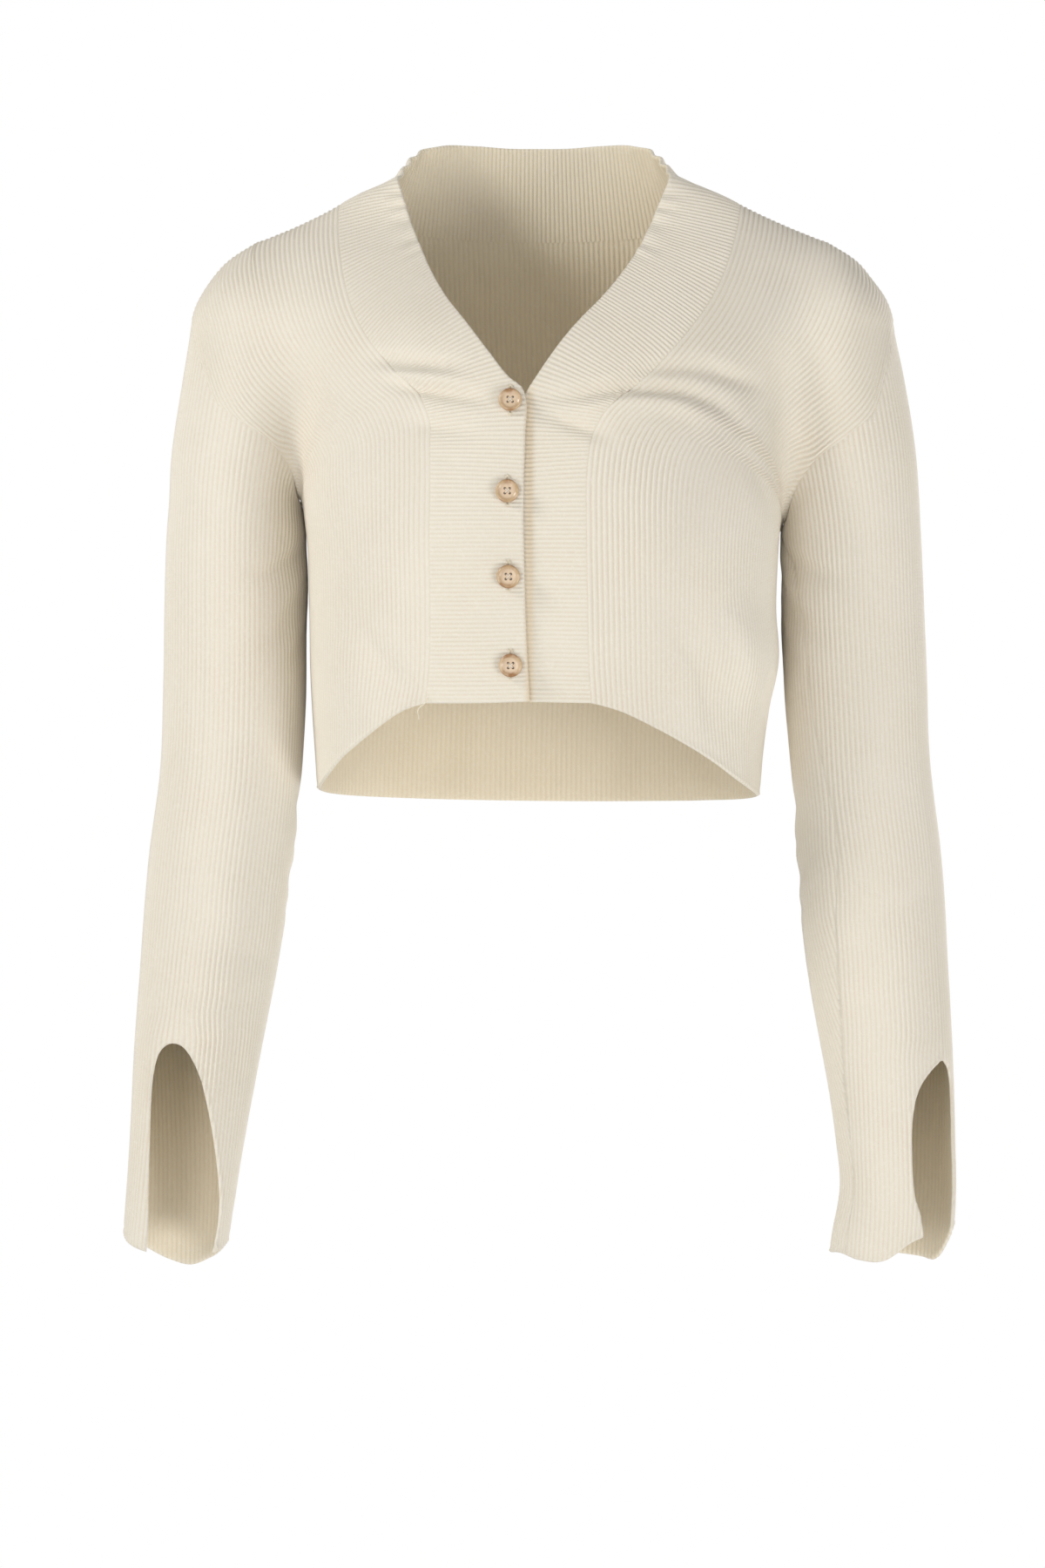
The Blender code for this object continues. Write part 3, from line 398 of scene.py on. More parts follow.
def arm(side, p):
    """Rough distance of p from an arm, less than 0 inside."""
    x, y, half_width, half_depth = columns(ARMS[side], p[..., 2])
    x = side * p[..., 0] - x
    y = p[..., 1] - y
    grown = np.maximum(np.hypot(x / half_width, y / half_depth), 1e-3)
    out = np.hypot(x, y)
    above = np.maximum(p[..., 2] - ARMS[side][-1, 0], 0)
    return np.hypot(out, above) - out / grown


def blend(side, own, other, z):
    """The nearer of two bodies, filled in where they meet above the underarm."""
    above = z - UNDERARM[side]
    width = np.maximum(columns(ARMHOLE_BLEND, above)[0], 1e-6)
    fill = np.clip(1 - np.abs(own - other) / width, 0, 1) ** 2 * width / 4
    return np.where(above > 0, np.minimum(own, other), own) - fill


def body_shape(p):
    """The form as the fronts and the back see it."""
    own = trunk(p)
    shapes = [blend(side, own, arm(side, p), p[..., 2]) for side in (RIGHT, LEFT)]
    return np.where(p[..., 0] < 0, shapes[0], shapes[1])


def sleeve_shape(side):
    """The form as one sleeve sees it."""
    return lambda p: blend(side, arm(side, p), trunk(p), p[..., 2])


def slope(shape, p, step=0.4):
    moves = np.eye(3) * step
    return np.stack([shape(p + move) - shape(p - move) for move in moves], -1) / (2 * step)


def settle(shape, p, rounds=14, most=12.0):
    """Points moved onto the form, straight towards it."""
    for _ in range(rounds):
        way = slope(shape, p)
        size = np.maximum((way**2).sum(-1), 1e-3)
        move = way * (shape(p) / size)[..., None]
        far = np.linalg.norm(move, axis=-1, keepdims=True)
        p = p - move * np.minimum(1, most / np.maximum(far, 1e-9))
    return p


def on_front(flat):
    """Points of the front of the form, from points given across and in height."""
    near = np.full(len(flat), BEFORE_FORM)
    far = np.full(len(flat), float(TRUNK_MIDDLE_Y))
    for _ in range(HALVINGS):
        y = (near + far) / 2
        outside = body_shape(np.stack([flat[:, 0], y, flat[:, 1]], -1)) > 0
        near = np.where(outside, y, near)
        far = np.where(outside, far, y)
    return np.stack([flat[:, 0], far, flat[:, 1]], -1)


# Creases.

def crease_shift(flat, creases):
    """How far creases move points, given across and in height."""
    shift = np.zeros(flat.shape[:-1])
    for line, depth, half_width in creases:
        line = along(np.array(line, float), np.linspace(0, 1, CREASE_STEPS + 1), CREASE_FINE)
        far = np.linalg.norm(flat[..., None, :] - line, axis=-1)
        share = CREASE_END + (1 - 2 * CREASE_END) * far.argmin(-1) / CREASE_STEPS
        taper = np.sin(np.pi * share) ** CREASE_TAPER
        shift += depth * taper * np.exp(-((far.min(-1) / half_width) ** 2))
    return shift


def chest_shift(flat):
    """How far the creases and the fullness of the chest move points of the front."""
    shift = crease_shift(flat, FRONT_CREASES)
    for x, z, out, reach_x, reach_z in FULLNESS:
        apart = ((flat[..., 0] - x) / reach_x) ** 2 + ((flat[..., 1] - z) / reach_z) ** 2
        shift += out * np.exp(-apart)
    return shift


# Knit.

RIB = 3.0
STEPS_PER_RIB = 4
RIB_RISE, RIB_FALL = 0.30, 0.38
# The larger, the narrower the grooves between ribs.
RIB_ROUND = 1.6
SLEEVE_RIB = 2.9
# How unevenly ribs are raised: two fields, each a share of the height and its scale.
UNEVEN = ((0.22, 22), (0.14, 6))
# Ribs beside a seam and beside a free edge: share of the height kept there, and its reach.
SEAM_FLAT = (0.35, 2.0)
EDGE_FLAT = (0.5, 1.5)
# How far the cloth sinks beside a seam, and beside the seam of a band, and over what reach.
SEAM_SINK = (0.34, 1.8)
BAND_SINK = (0.1, 1.6)
# A distance at which no seam counts.
FAR = 99.0
# Slow waves of the cloth: height, scale, and the reach in which they fade beside a seam.
WAVE, WAVE_SCALE, WAVE_FADE = 0.16, 12, 6
# How round a free edge is, outside and inside.
LIP, LIP_INSIDE = 1.1, 0.9
# Ribs on the inner side of the back, which shows through the neck.
BACK_INNER_RIB = 0.24
# Sleeves are brushed flatter towards the cuff: share, height at which it starts, reach.
BRUSHED, BRUSHED_FROM, BRUSHED_REACH = 0.4, -480, 90
# A slit spreads the ribs beside it: how far, from how far above it, over what reach.
SPREAD, SPREAD_ABOVE, SPREAD_REACH, SPREAD_RAMP = 4.0, 18.0, 30.0, 12.0
# Rolled edges and the groove behind them: how high, how far in from the edge, half width.
ROLL = (0.32, 1.15, 0.75)
ROLL_GROOVE = (-0.3, 2.5, 0.75)
# The uneven fields: waves of each, and seeds.
WANDER_WAVES = 7
FRONT_SEED = {RIGHT: 11, LEFT: 12}
BACK_SEED = 21
SLEEVE_SEED = {RIGHT: 31, LEFT: 41}
BAND_SEED = {RIGHT: 51, LEFT: 61}

# Rows of the form that a panel is first laid out on.
SIDE_ROWS, HOLE_ROWS = 50, 60
PANEL_ROWS = SIDE_ROWS + HOLE_ROWS
BASE_COLUMNS = 44
# Rows of a sleeve above its slit, drops of the first ones beside it, and rows further down.
SLEEVE_UPPER_ROWS = 108
SLIT_FIRST_ROWS = np.array([0.15, 0.5, 1.0, 1.7, 2.6, 3.7, 5.2, 7.1, 9.5])
SLIT_LOWER_ROWS = 34

# Rows that round the edges of a panel, in rows from its hem and back from its top, and those
# of a sleeve, from its top and back from its cuff.
HEM_ROWS, TOP_ROWS = (0.0, 0.12, 0.3, 0.6), (1.5, 1.2, 1.0)
SLEEVE_TOP_ROWS, CUFF_ROWS = (0, 0.2, 0.5), (1.6, 1.3, 1.12, 1)
# Columns that lie nearer an edge than this share of a step are merged with it.
MERGED = 0.2
# Over what share of its height the fall along a row comes to count towards its ribs.
SINKING_REACH = 0.7

# Underarm seam of a sleeve: height, angle round the arm.
SLEEVE_SEAM = {
    RIGHT: np.array([(-174, 180), (-300, 186), (-450, 190), (-520, 189), (-615, 186)])[::-1],
    LEFT: np.array([
        (-188, 180), (-205, 165), (-230, 149), (-255, 140), (-282, 135), (-313, 132),
        (-342, 125), (-365, 119), (-425, 126), (-463, 131), (-514, 141), (-578, 143),
        (-615, 141),
    ])[::-1],
}


# Where a sleeve swells towards the body: height, how far, reach in height and in degrees.
SLEEVE_TOUCH = {RIGHT: (-203, 3.1, 40.0, 34.0), LEFT: (-194, 2.4, 17.0, 30.0)}
TOUCH_FADE = 0.012


def wander(p, scale, seed):
    """A smooth uneven field between about -1 and 1, from a few slow waves."""
    draw = np.random.default_rng(seed)
    total = np.zeros(p.shape[:-1])
    for _ in range(WANDER_WAVES):
        way = draw.normal(size=3)
        way *= draw.uniform(0.6, 1.7) / (scale * np.linalg.norm(way))
        total += np.sin((p * way).sum(-1) + draw.uniform(0, 6.28))
    return total / (WANDER_WAVES / 2)


# Seams, at any step.

Seam = namedtuple("Seam", "points normals sideways")


def seam_of(points, normals=None):
    if normals is None:
        normals = unit(slope(body_shape, points))
    return Seam(points, normals, unit(np.cross(normals, np.gradient(points, axis=0))))


def part_of(seam, steps):
    return Seam(*(values[steps] for values in seam))


def fold(turn):
    """Angles round an arm, from its outer side to 180 whichever way they go."""
    return np.minimum(turn % 360, 360 - turn % 360)


def on_arm(side, turn, z):
    """Points of an arm by angle, 0 at its outer side and 90 at its front, and height."""
    x, y, half_width, half_depth = columns(ARMS[side], z)
    angle = np.radians(turn)
    across = side * (x + half_width * np.cos(angle))
    return np.stack([across, y - half_depth * np.sin(angle), z], -1)


def armhole(side, turn):
    """Points of the armhole seam at angles from the shoulder down the front and up the back."""
    folded = fold(turn)
    drop = columns(ARMHOLE, folded)[0]
    z = ARMHOLE_TOP + (UNDERARM[side] - ARMHOLE_TOP) * drop
    guess = on_arm(side, turn, z)
    guess[:, 0] -= side * UNDERARM_FOLD * ease((folded - FOLD_FROM) / (180 - FOLD_FROM))
    points = settle(sleeve_shape(side), guess)
    seam = seam_of(points)
    wider = 1 + (UNDERARM_GAP / SEAM_GAP - 1) * ease((folded - WIDER_FROM) / (180 - WIDER_FROM))
    return seam._replace(sideways=seam.sideways * wider[:, None])


def side_seam(side):
    z = np.linspace(SIDE_HEM[side], UNDERARM[side], SIDE_ROWS + 1)
    edge = columns(TRUNK, z)[0 if side == RIGHT else 1]
    points = settle(body_shape, np.stack([edge, np.full(len(z), SIDE_SEAM_Y), z], -1))
    points[-1] = armhole(side, np.array([179.0, 180.0]))[0][-1]
    seam = seam_of(points)
    seam.sideways[-1] = seam.sideways[-2]
    return seam


def band_line(side):
    """The seam of a band as a few points, and the share of its length at the shoulder."""
    neck = NECK_SEAM * np.array([side, 1, 1])
    neck[-1, 0] = BAND_MIDDLE_X
    line = np.concatenate([on_front(BAND_SEAM[side]), neck])
    return line, lengths(line)[len(BAND_SEAM[side])]


def band_seam(side, shares):
    """From the hem up the front, over the shoulder, to the middle of the back."""
    line, shoulder = band_line(side)
    points = settle(body_shape, along(line, shares, BAND_FINE))
    normals = unit(slope(body_shape, points))
    shift = chest_shift(points[:, [0, 2]]) * ease((1 - shares / shoulder) / SHIFT_FADE)
    return seam_of(points + normals * shift[:, None], normals)


def shoulder_seam(side, count):
    """From the band to the top of the armhole."""
    shoulder = band_line(side)[1]
    start = band_seam(side, np.array([shoulder - 0.005, shoulder]))[0][-1]
    end = armhole(side, np.array([0.0, 1.0]))[0][0]
    s = np.linspace(0, 1, SHOULDER_POINTS)[:, None]
    guess = start + (end - start) * s
    guess[:, 2] += SHOULDER_SEAM_LIFT * 4 * (s * (1 - s))[:, 0]
    line = settle(body_shape, guess)
    line[0], line[-1] = start, end
    return seam_of(respace(line[None], count)[0])


def front_hem(side):
    """Hem of a front, from the band to the side seam."""
    start = BAND_SEAM[side][0, 0]
    z = np.full(FRONT_HEM_POINTS, FRONT_HEM[0, 1], float)
    for _ in range(4):
        right, left, front, _, power = columns(TRUNK, z)
        middle, half_width = (right + left) / 2, (left - right) / 2
        last = math.acos((start - middle[0]) * side / half_width[0])
        angle = np.linspace(last, 0, FRONT_HEM_POINTS)
        x = middle + side * half_width * np.cos(angle)
        z = columns(FRONT_HEM, x)[0]
    flat = 1 - np.clip(np.cos(angle), 0, 1) ** power
    y = TRUNK_MIDDLE_Y - (TRUNK_MIDDLE_Y - front) * flat ** (1 / power)
    return np.stack([x, y, z], -1)


def back_hem():
    angle = np.linspace(math.pi, 0, BACK_HEM_POINTS)
    share = np.linspace(0, 1, BACK_HEM_POINTS)
    z = SIDE_HEM[RIGHT] * (1 - share) + SIDE_HEM[LEFT] * share
    z = z - BACK_HEM_DIP * np.sin(angle)
    right, left, _, back, _ = columns(TRUNK, z)
    x = (right + left) / 2 + (left - right) / 2 * np.cos(angle)
    y = TRUNK_MIDDLE_Y + (back - TRUNK_MIDDLE_Y) * np.sin(angle)
    return settle(body_shape, np.stack([x, y, z], -1))


# Panels laid out on the form.

def stretch(bottom, top, first, last):
    """A grid stretched between four lines.  Rows run from first to last, bottom row first."""
    v = np.linspace(0, 1, len(first))[:, None, None]
    u = np.linspace(0, 1, len(bottom))[None, :, None]
    grid = (1 - v) * bottom + v * top + (1 - u) * first[:, None] + u * last[:, None]
    corners = (1 - u) * ((1 - v) * bottom[0] + v * top[0])
    corners = corners + u * ((1 - v) * bottom[-1] + v * top[-1])
    return grid - corners


def fill_in(hem, top, first, last, count):
    """A grid laid on the form between four lines, with its rows evenly divided."""
    hem[0], hem[-1] = first[0], last[0]
    grid = stretch(hem, respace(top[None], len(hem))[0], first, last)
    grid[1:-1, 1:-1] = settle(body_shape, grid[1:-1, 1:-1])
    grid = respace(grid, count + 1)
    grid[:, 1:-1] = settle(body_shape, grid[:, 1:-1], 6)
    return grid


def pull_in(grid, place, inside, seam):
    """An edge of a grid moved off its seam by half the gap."""
    way = seam.sideways * SEAM_GAP / 2
    sign = np.sign((way * (grid[inside] - grid[place])).sum())
    grid[place] = grid[place] + sign * way


def front_base(side):
    """A front from the band outwards, a row for each step up, and its ways out."""
    band = band_seam(side, np.linspace(0, band_line(side)[1], PANEL_ROWS + 1))
    below = side_seam(side)
    hole = armhole(side, np.linspace(180, 0, HOLE_ROWS + 1))
    top = shoulder_seam(side, BASE_COLUMNS + 1)
    outer_edge = np.concatenate([below.points, hole.points[1:]])
    grid = fill_in(front_hem(side), top.points, band.points, outer_edge, BASE_COLUMNS)
    normals = unit(slope(body_shape, grid))
    u = np.linspace(0, 1, BASE_COLUMNS + 1)[None, :]
    v = np.linspace(0, 1, PANEL_ROWS + 1)[:, None]
    held = ease((1 - u) / FRONT_SIDE_FADE) * ease((1 - v) / SHIFT_FADE)
    shift = chest_shift(grid[..., [0, 2]])
    # The edge at the band already lies on the creased seam.
    shift[:, 0] = 0
    grid = grid + normals * (shift * held)[..., None]
    normals[:, 0] = band.normals
    pull_in(grid, (slice(None), 0), (slice(None), 1), band)
    pull_in(grid, (-1, slice(None)), (-2, slice(None)), top)
    pull_in(grid, (slice(0, SIDE_ROWS + 1), -1), (slice(0, SIDE_ROWS + 1), -2), below)
    pull_in(grid, (slice(SIDE_ROWS + 1, None), -1), (slice(SIDE_ROWS + 1, None), -2),
            part_of(hole, slice(1, None)))
    return grid, normals


def back_base():
    """The back from right to left, a row for each step up, and its ways out."""
    parts = {}
    for side in (RIGHT, LEFT):
        hole = armhole(side, np.linspace(180, 360, HOLE_ROWS + 1))
        neck = band_seam(side, np.linspace(band_line(side)[1], 1, BASE_COLUMNS + 1))
        parts[side] = (side_seam(side), hole, shoulder_seam(side, BASE_COLUMNS + 1), neck)
    (below_r, hole_r, shoulder_r, neck_r), (below_l, hole_l, shoulder_l, neck_l) = (
        parts[RIGHT], parts[LEFT])
    ways = [
        (seam.points, seam.sideways * np.sign(seam.sideways[:, 2:3].sum()) * -SEAM_GAP / 2)
        for seam in (shoulder_r, neck_r, neck_l, shoulder_l)
    ]
    edges = [points + way for points, way in ways]
    top = np.concatenate([edges[0][::-1], edges[1][1:], edges[2][::-1][1:], edges[3][1:]])
    first = np.concatenate([below_r.points, hole_r.points[1:]])
    last = np.concatenate([below_l.points, hole_l.points[1:]])
    grid = fill_in(back_hem(), top, first, last, 2 * BASE_COLUMNS)
    normals = unit(slope(body_shape, grid))
    u = np.linspace(0, 1, 2 * BASE_COLUMNS + 1)[None, :]
    v = np.linspace(0, 1, PANEL_ROWS + 1)[:, None]
    held = ease(np.minimum(u, 1 - u) / BACK_SIDE_FADE) * ease((1 - v) / SHIFT_FADE)
    grid = grid + normals * (crease_shift(grid[..., [0, 2]], BACK_CREASES) * held)[..., None]
    low, high = slice(0, SIDE_ROWS + 1), slice(SIDE_ROWS + 1, None)
    for column, inside, below, hole in ((0, 1, below_r, hole_r), (-1, -2, below_l, hole_l)):
        pull_in(grid, (low, column), (low, inside), below)
        pull_in(grid, (high, column), (high, inside), part_of(hole, slice(1, None)))
    return grid, normals


def sleeve_base(side, way):
    """Half a sleeve from the slit's line to the underarm seam, one row for each step down.

    Its third value says how far along each row, in columns, the edge of the slit lies, and its
    last one how far the ribs spread beside it."""
    upper = np.linspace(UNDERARM[side], SLIT_TOP[side], SLEEVE_UPPER_ROWS + 1)
    lower = np.linspace(SLIT_FIRST_ROWS[-1], SLIT_TOP[side] - CUFF_NOMINAL, SLIT_LOWER_ROWS + 1)
    heights = np.concatenate([upper, SLIT_TOP[side] - np.append(SLIT_FIRST_ROWS, lower[1:])])
    drop = np.maximum(SLIT_TOP[side] - heights, 0)
    done = np.clip((UNDERARM[side] - heights) / (UNDERARM[side] - SLIT_TOP[side]), 0, 1)
    edges = smooth(np.sqrt(SLIT[side][:, 0]), SLIT[side][:, 1:], np.sqrt(drop))
    seam = columns(SLEEVE_SEAM[side], heights)[0]
    start = SLIT[side][0, 1]
    edge = edges[:, 1] if way > 0 else edges[:, 0]
    end = seam if way > 0 else seam - 360
    shares = np.linspace(0, 1, BASE_COLUMNS + 1)
    turn = start + (end - start)[:, None] * shares
    near = (edge - start) / (end - start) * BASE_COLUMNS
    push = SPREAD * ease((SLIT_TOP[side] + SPREAD_ABOVE - heights) / SPREAD_ABOVE)
    rise = (ARMHOLE_TOP - UNDERARM[side]) * (1 - columns(ARMHOLE, fold(turn))[0])
    cuff = columns(CUFF_EDGE[side], turn % 360)[0]
    z = heights[:, None] + rise * ((1 - done) ** RISE_FADE)[:, None]
    z = z + (cuff - CUFF_NOMINAL) * (drop / (SLIT_TOP[side] - CUFF_NOMINAL))[:, None]
    grid = settle(sleeve_shape(side), on_arm(side, turn, z), 10)
    normals = unit(slope(sleeve_shape(side), grid))
    around = np.stack([turn % 360 * ARM_MM_PER_DEGREE, z], -1)
    creases = [([(a * ARM_MM_PER_DEGREE, h) for a, h in line], depth, width)
               for line, depth, width in SLEEVE_CREASES]
    shift = crease_shift(around, creases) * ease(done / SHIFT_FADE)[:, None]
    height, out, reach, reach_turn = SLEEVE_TOUCH[side]
    touch = out * np.exp(-(((z - height) / reach) ** 4) - ((turn % 360 - 180) / reach_turn) ** 2)
    shift = shift + touch * ease(done / TOUCH_FADE)[:, None]
    grid = grid + normals * shift[..., None]
    hole = armhole(side, turn[0])
    grid[0] = hole.points
    pull_in(grid, 0, 1, hole)
    normals[0] = hole.normals
    return grid, normals, near, push


# Shells.

# A sheet of cloth: points and ways out by row and column, how far along its row each column
# lies, the whole of each row, how far up the base grid each row lies, how far along its row
# each column would lie if nothing spread the ribs, how far out the knit lifts each point, and
# the place in the knit: ribs across and millimetres along.
Sheet = namedtuple("Sheet", "points normals places total rows ribs lift uv", defaults=(None, None))


def spread(base, normals, rows, pitch, sinking, near=None, push=None):
    """A base grid read at some rows, with columns at a fixed pitch and cut off at its far edge.

    near says from which column of the base grid on each row has cloth, and push how far the
    ribs beside that place are spread."""
    count = len(base)
    flat = base.reshape(count, -1)
    grid = smooth(np.arange(count), flat, rows).reshape(len(rows), -1, 3)
    out = smooth(np.arange(count), normals.reshape(count, -1), rows).reshape(grid.shape)
    step = np.diff(grid, axis=1)
    step[..., 2] *= sinking[:, None]
    run = np.cumsum(np.pad(np.linalg.norm(step, axis=-1), ((0, 0), (1, 0))), axis=1)
    total = run[:, -1]
    steps = np.arange(math.ceil(total.max() / pitch) + 1) * pitch
    knots = np.arange(grid.shape[1])
    wide = np.broadcast_to(steps, (len(rows), len(steps)))
    if push is not None:
        pushed = np.interp(rows, np.arange(count), push)[:, None]
        wide = steps + pushed * np.exp(-steps / SPREAD_REACH) * np.minimum(1, steps / SPREAD_RAMP)
    places = np.minimum(wide, total[:, None])
    places[:, -1] = total
    if near is not None:
        at = np.interp(rows, np.arange(count), near)
        first = [np.interp(at[r], knots, run[r]) for r in range(len(rows))]
        places = np.maximum(places, np.array(first)[:, None])
    ribs = np.array([np.interp(places[r], wide[r], steps) for r in range(len(rows))])
    both = np.concatenate([grid, out], axis=-1)
    read = np.array([smooth(knots, both[r], np.interp(places[r], run[r], knots))
                     for r in range(len(rows))])
    return Sheet(read[..., :3], unit(read[..., 3:]), places, total, rows, ribs)


def rib_profile(phase):
    """Round ridges with narrow grooves between them, from -1 to 1, grooves at whole numbers."""
    return 1 - 2 * np.abs(np.cos(np.pi * phase)) ** RIB_ROUND


def numbers_of(places, total, pitch, start):
    """Numbers of the points of a spread grid.  Those cut off are all the edge's one."""
    numbers = start + np.arange(places.size).reshape(places.shape)
    before = places < places[:, :1] + MERGED * pitch
    beyond = places > (total - MERGED * pitch)[:, None]
    beyond[:, -1] = True
    return np.where(beyond, numbers[:, -1:], np.where(before, numbers[:, :1], numbers))


def grid_faces(numbers):
    """Quads and triangles of a grid of numbers, without those that have no area."""
    a, b = numbers[:-1, :-1].ravel(), numbers[:-1, 1:].ravel()
    d, c = numbers[1:, :-1].ravel(), numbers[1:, 1:].ravel()
    faces = []
    for face in zip(a.tolist(), b.tolist(), c.tolist(), d.tolist()):
        kept = [n for i, n in enumerate(face) if n != face[i - 1]]
        if len(kept) > 2:
            faces.append(kept)
    return faces


def zip_loops(one, two):
    """Faces between two loops of (number, place), whose places run alike from 0 upwards."""
    faces, i, k = [], 0, 0
    while i < len(one) - 1 or k < len(two) - 1:
        ahead = one[i + 1][1] if i < len(one) - 1 else math.inf
        other = two[k + 1][1] if k < len(two) - 1 else math.inf
        if ahead <= other:
            faces.append([one[i][0], one[i + 1][0], two[k][0]])
            i += 1
        else:
            faces.append([one[i][0], two[k + 1][0], two[k][0]])
            k += 1
    return faces


def line_of(numbers, places, at, reverse=False):
    """A row or column of numbers as (number, place) from at to at + 1, each number once."""
    span = places[-1] - places[0]
    pairs = [(int(n), (p - places[0]) / span) for n, p in zip(numbers, places)]
    if reverse:
        pairs = [(n, 1 - p) for n, p in pairs[::-1]]
    found, seen = [], None
    for n, p in pairs:
        if n != seen:
            found.append((n, at + p))
        seen = n
    return found


def chain(*lines):
    """Lines that follow on from each other as one loop, without the points they share."""
    loop = list(lines[0])
    for line in lines[1:]:
        loop += [pair for pair in line if pair[0] != loop[-1][0]]
    return loop


# Faces that meet at more than this are shaded apart: the cut walls at the seams.
SHARP_ANGLE = math.radians(66)


def link(name, data):
    """An object of the scene for a mesh, light or camera."""
    made = bpy.data.objects.new(name, data)
    bpy.context.scene.collection.objects.link(made)
    return made


def new_mesh(name, points, faces):
    """A mesh in metres from points in millimetres."""
    mesh = bpy.data.meshes.new(name)
    mesh.from_pydata((np.asarray(points) * MM).tolist(), [], faces)
    return mesh


def face_outwards(mesh):
    shape = bmesh.new()
    shape.from_mesh(mesh)
    bmesh.ops.recalc_face_normals(shape, faces=shape.faces)
    if shape.calc_volume(signed=True) < 0:
        bmesh.ops.reverse_faces(shape, faces=shape.faces)
    shape.to_mesh(mesh)
    shape.free()


def cloth_object(name, points, faces, uv, finishes, inner_from):
    """An object from the points of both sides of a cloth, the inner ones last."""
    used = np.unique(np.concatenate([np.array(face) for face in faces]))
    renumber = np.full(len(points), -1)
    renumber[used] = np.arange(len(used))
    mesh = new_mesh(name, points[used], [renumber[face].tolist() for face in faces])
    face_outwards(mesh)
    mesh.shade_smooth()
    for finish in finishes:
        mesh.materials.append(finish)
    split = int(np.searchsorted(used, inner_from))
    slots = np.array([int(min(p.vertices) >= split) for p in mesh.polygons])
    mesh.polygons.foreach_set("material_index", slots)
    layer = mesh.uv_layers.new(name="knit")
    corners = np.empty(len(mesh.loops), dtype=np.int32)
    mesh.loops.foreach_get("vertex_index", corners)
    layer.data.foreach_set("uv", uv[used][corners].ravel().astype(np.float32))
    mesh.validate()
    mesh.set_sharp_from_angle(angle=SHARP_ANGLE)
    return link(name, mesh)


def loops_of(kind, numbers, sheets, closed):
    """The open edges of one side of a shell, as loops that the other side's loops run along."""
    rows = sheets[0].rows
    a, p = numbers[0], sheets[0].places
    b, q = numbers[-1], sheets[-1].places
    if kind == "single":
        return [chain(
            line_of(a[0], p[0], 0), line_of(a[:, -1], rows, 1),
            line_of(a[-1], p[-1], 2, True), line_of(a[:, 0], rows, 3, True))]
    if kind == "centre":
        return [chain(
            line_of(a[0], p[0], 0, True), line_of(b[0], q[0], 1), line_of(b[:, -1], rows, 2),
            line_of(b[-1], q[-1], 3, True), line_of(a[-1], p[-1], 4),
            line_of(a[:, -1], rows, 5, True))]
    top = chain(line_of(a[0], p[0], 0), line_of(b[0], q[0], 1, True))
    slit = chain(
        line_of(a[closed:, 0], rows[closed:], 0), line_of(a[-1], p[-1], 1),
        line_of(b[-1], q[-1], 2, True), line_of(b[closed:, 0], rows[closed:], 3, True))
    return [top, slit]


def one_side(kind, sheets, pitch, start, closed):
    """Numbers of the points of one side of a shell, and its faces.  Halves share their joins."""
    numbers, size = [], 0
    for sheet in sheets:
        numbers.append(numbers_of(sheet.places, sheet.total, pitch, start + size))
        size += sheet.places.size
    if len(sheets) == 2:
        same = np.arange(start + size)
        first, second = numbers
        shared = slice(None) if kind == "centre" else slice(0, closed + 1)
        same[second[shared, 0]] = first[shared, 0]
        if kind == "tube":
            same[second[:, -1]] = first[:, -1]
        numbers = [same[each] for each in numbers]
    faces = [face for each in numbers for face in grid_faces(each)]
    return numbers, faces, size


def thinned(sheet, rows, every):
    """A sheet with some of its rows and columns."""
    count = sheet.places.shape[1]
    pick = np.ix_(rows, np.unique(np.append(np.arange(0, count, every), count - 1)))
    return Sheet(*(value[rows] if value.ndim == 1 else value[pick] for value in sheet))


def build_shell(name, kind, sheets, pitch, wall, finishes, frees, lip_inside,
                closed=0, every=4, row_step=2, inner_ribs=0.0):
    """A closed shell of cloth: the raised outer side, a plainer inner side, and their edges."""
    numbers, faces, count = one_side(kind, sheets, pitch, 0, closed)
    outer = [s.points + s.normals * s.lift[..., None] for s in sheets]
    rows = np.arange(len(sheets[0].rows))
    keep = np.unique(np.concatenate([
        rows[:closed:row_step], rows[closed::row_step], [0, closed, rows[-1]]]))
    inner_sheets = [thinned(s, keep, every) for s in sheets]
    inner = []
    for s in inner_sheets:
        down = wall - lip(distance(s.points, frees), lip_inside)
        if inner_ribs:
            down += inner_ribs * rib_profile(s.ribs / (pitch * STEPS_PER_RIB))
        inner.append(s.points - s.normals * down[..., None])
    inner_closed = int(np.searchsorted(keep, closed))
    inner_numbers, inner_faces, _ = one_side(
        kind, inner_sheets, pitch * every, count, inner_closed)
    faces += inner_faces
    for one, two in zip(loops_of(kind, numbers, sheets, closed),
                        loops_of(kind, inner_numbers, inner_sheets, inner_closed)):
        faces += zip_loops(one, two)
    points = np.concatenate([each.reshape(-1, 3) for each in outer + inner])
    uv = np.concatenate([s.uv.reshape(-1, 2) for s in sheets + inner_sheets])
    return cloth_object(name, points, faces, uv, finishes, count)


def dense(line, step=0.6):
    """A line of points with more points between them."""
    found = [line[:1]]
    for a, b in zip(line[:-1], line[1:]):
        n = max(1, math.ceil(np.linalg.norm(b - a) / step))
        found.append(a + (b - a) * (np.arange(1, n + 1) / n)[:, None])
    return np.concatenate(found)


# Points whose distances are worked out together.
AT_ONCE = 4000


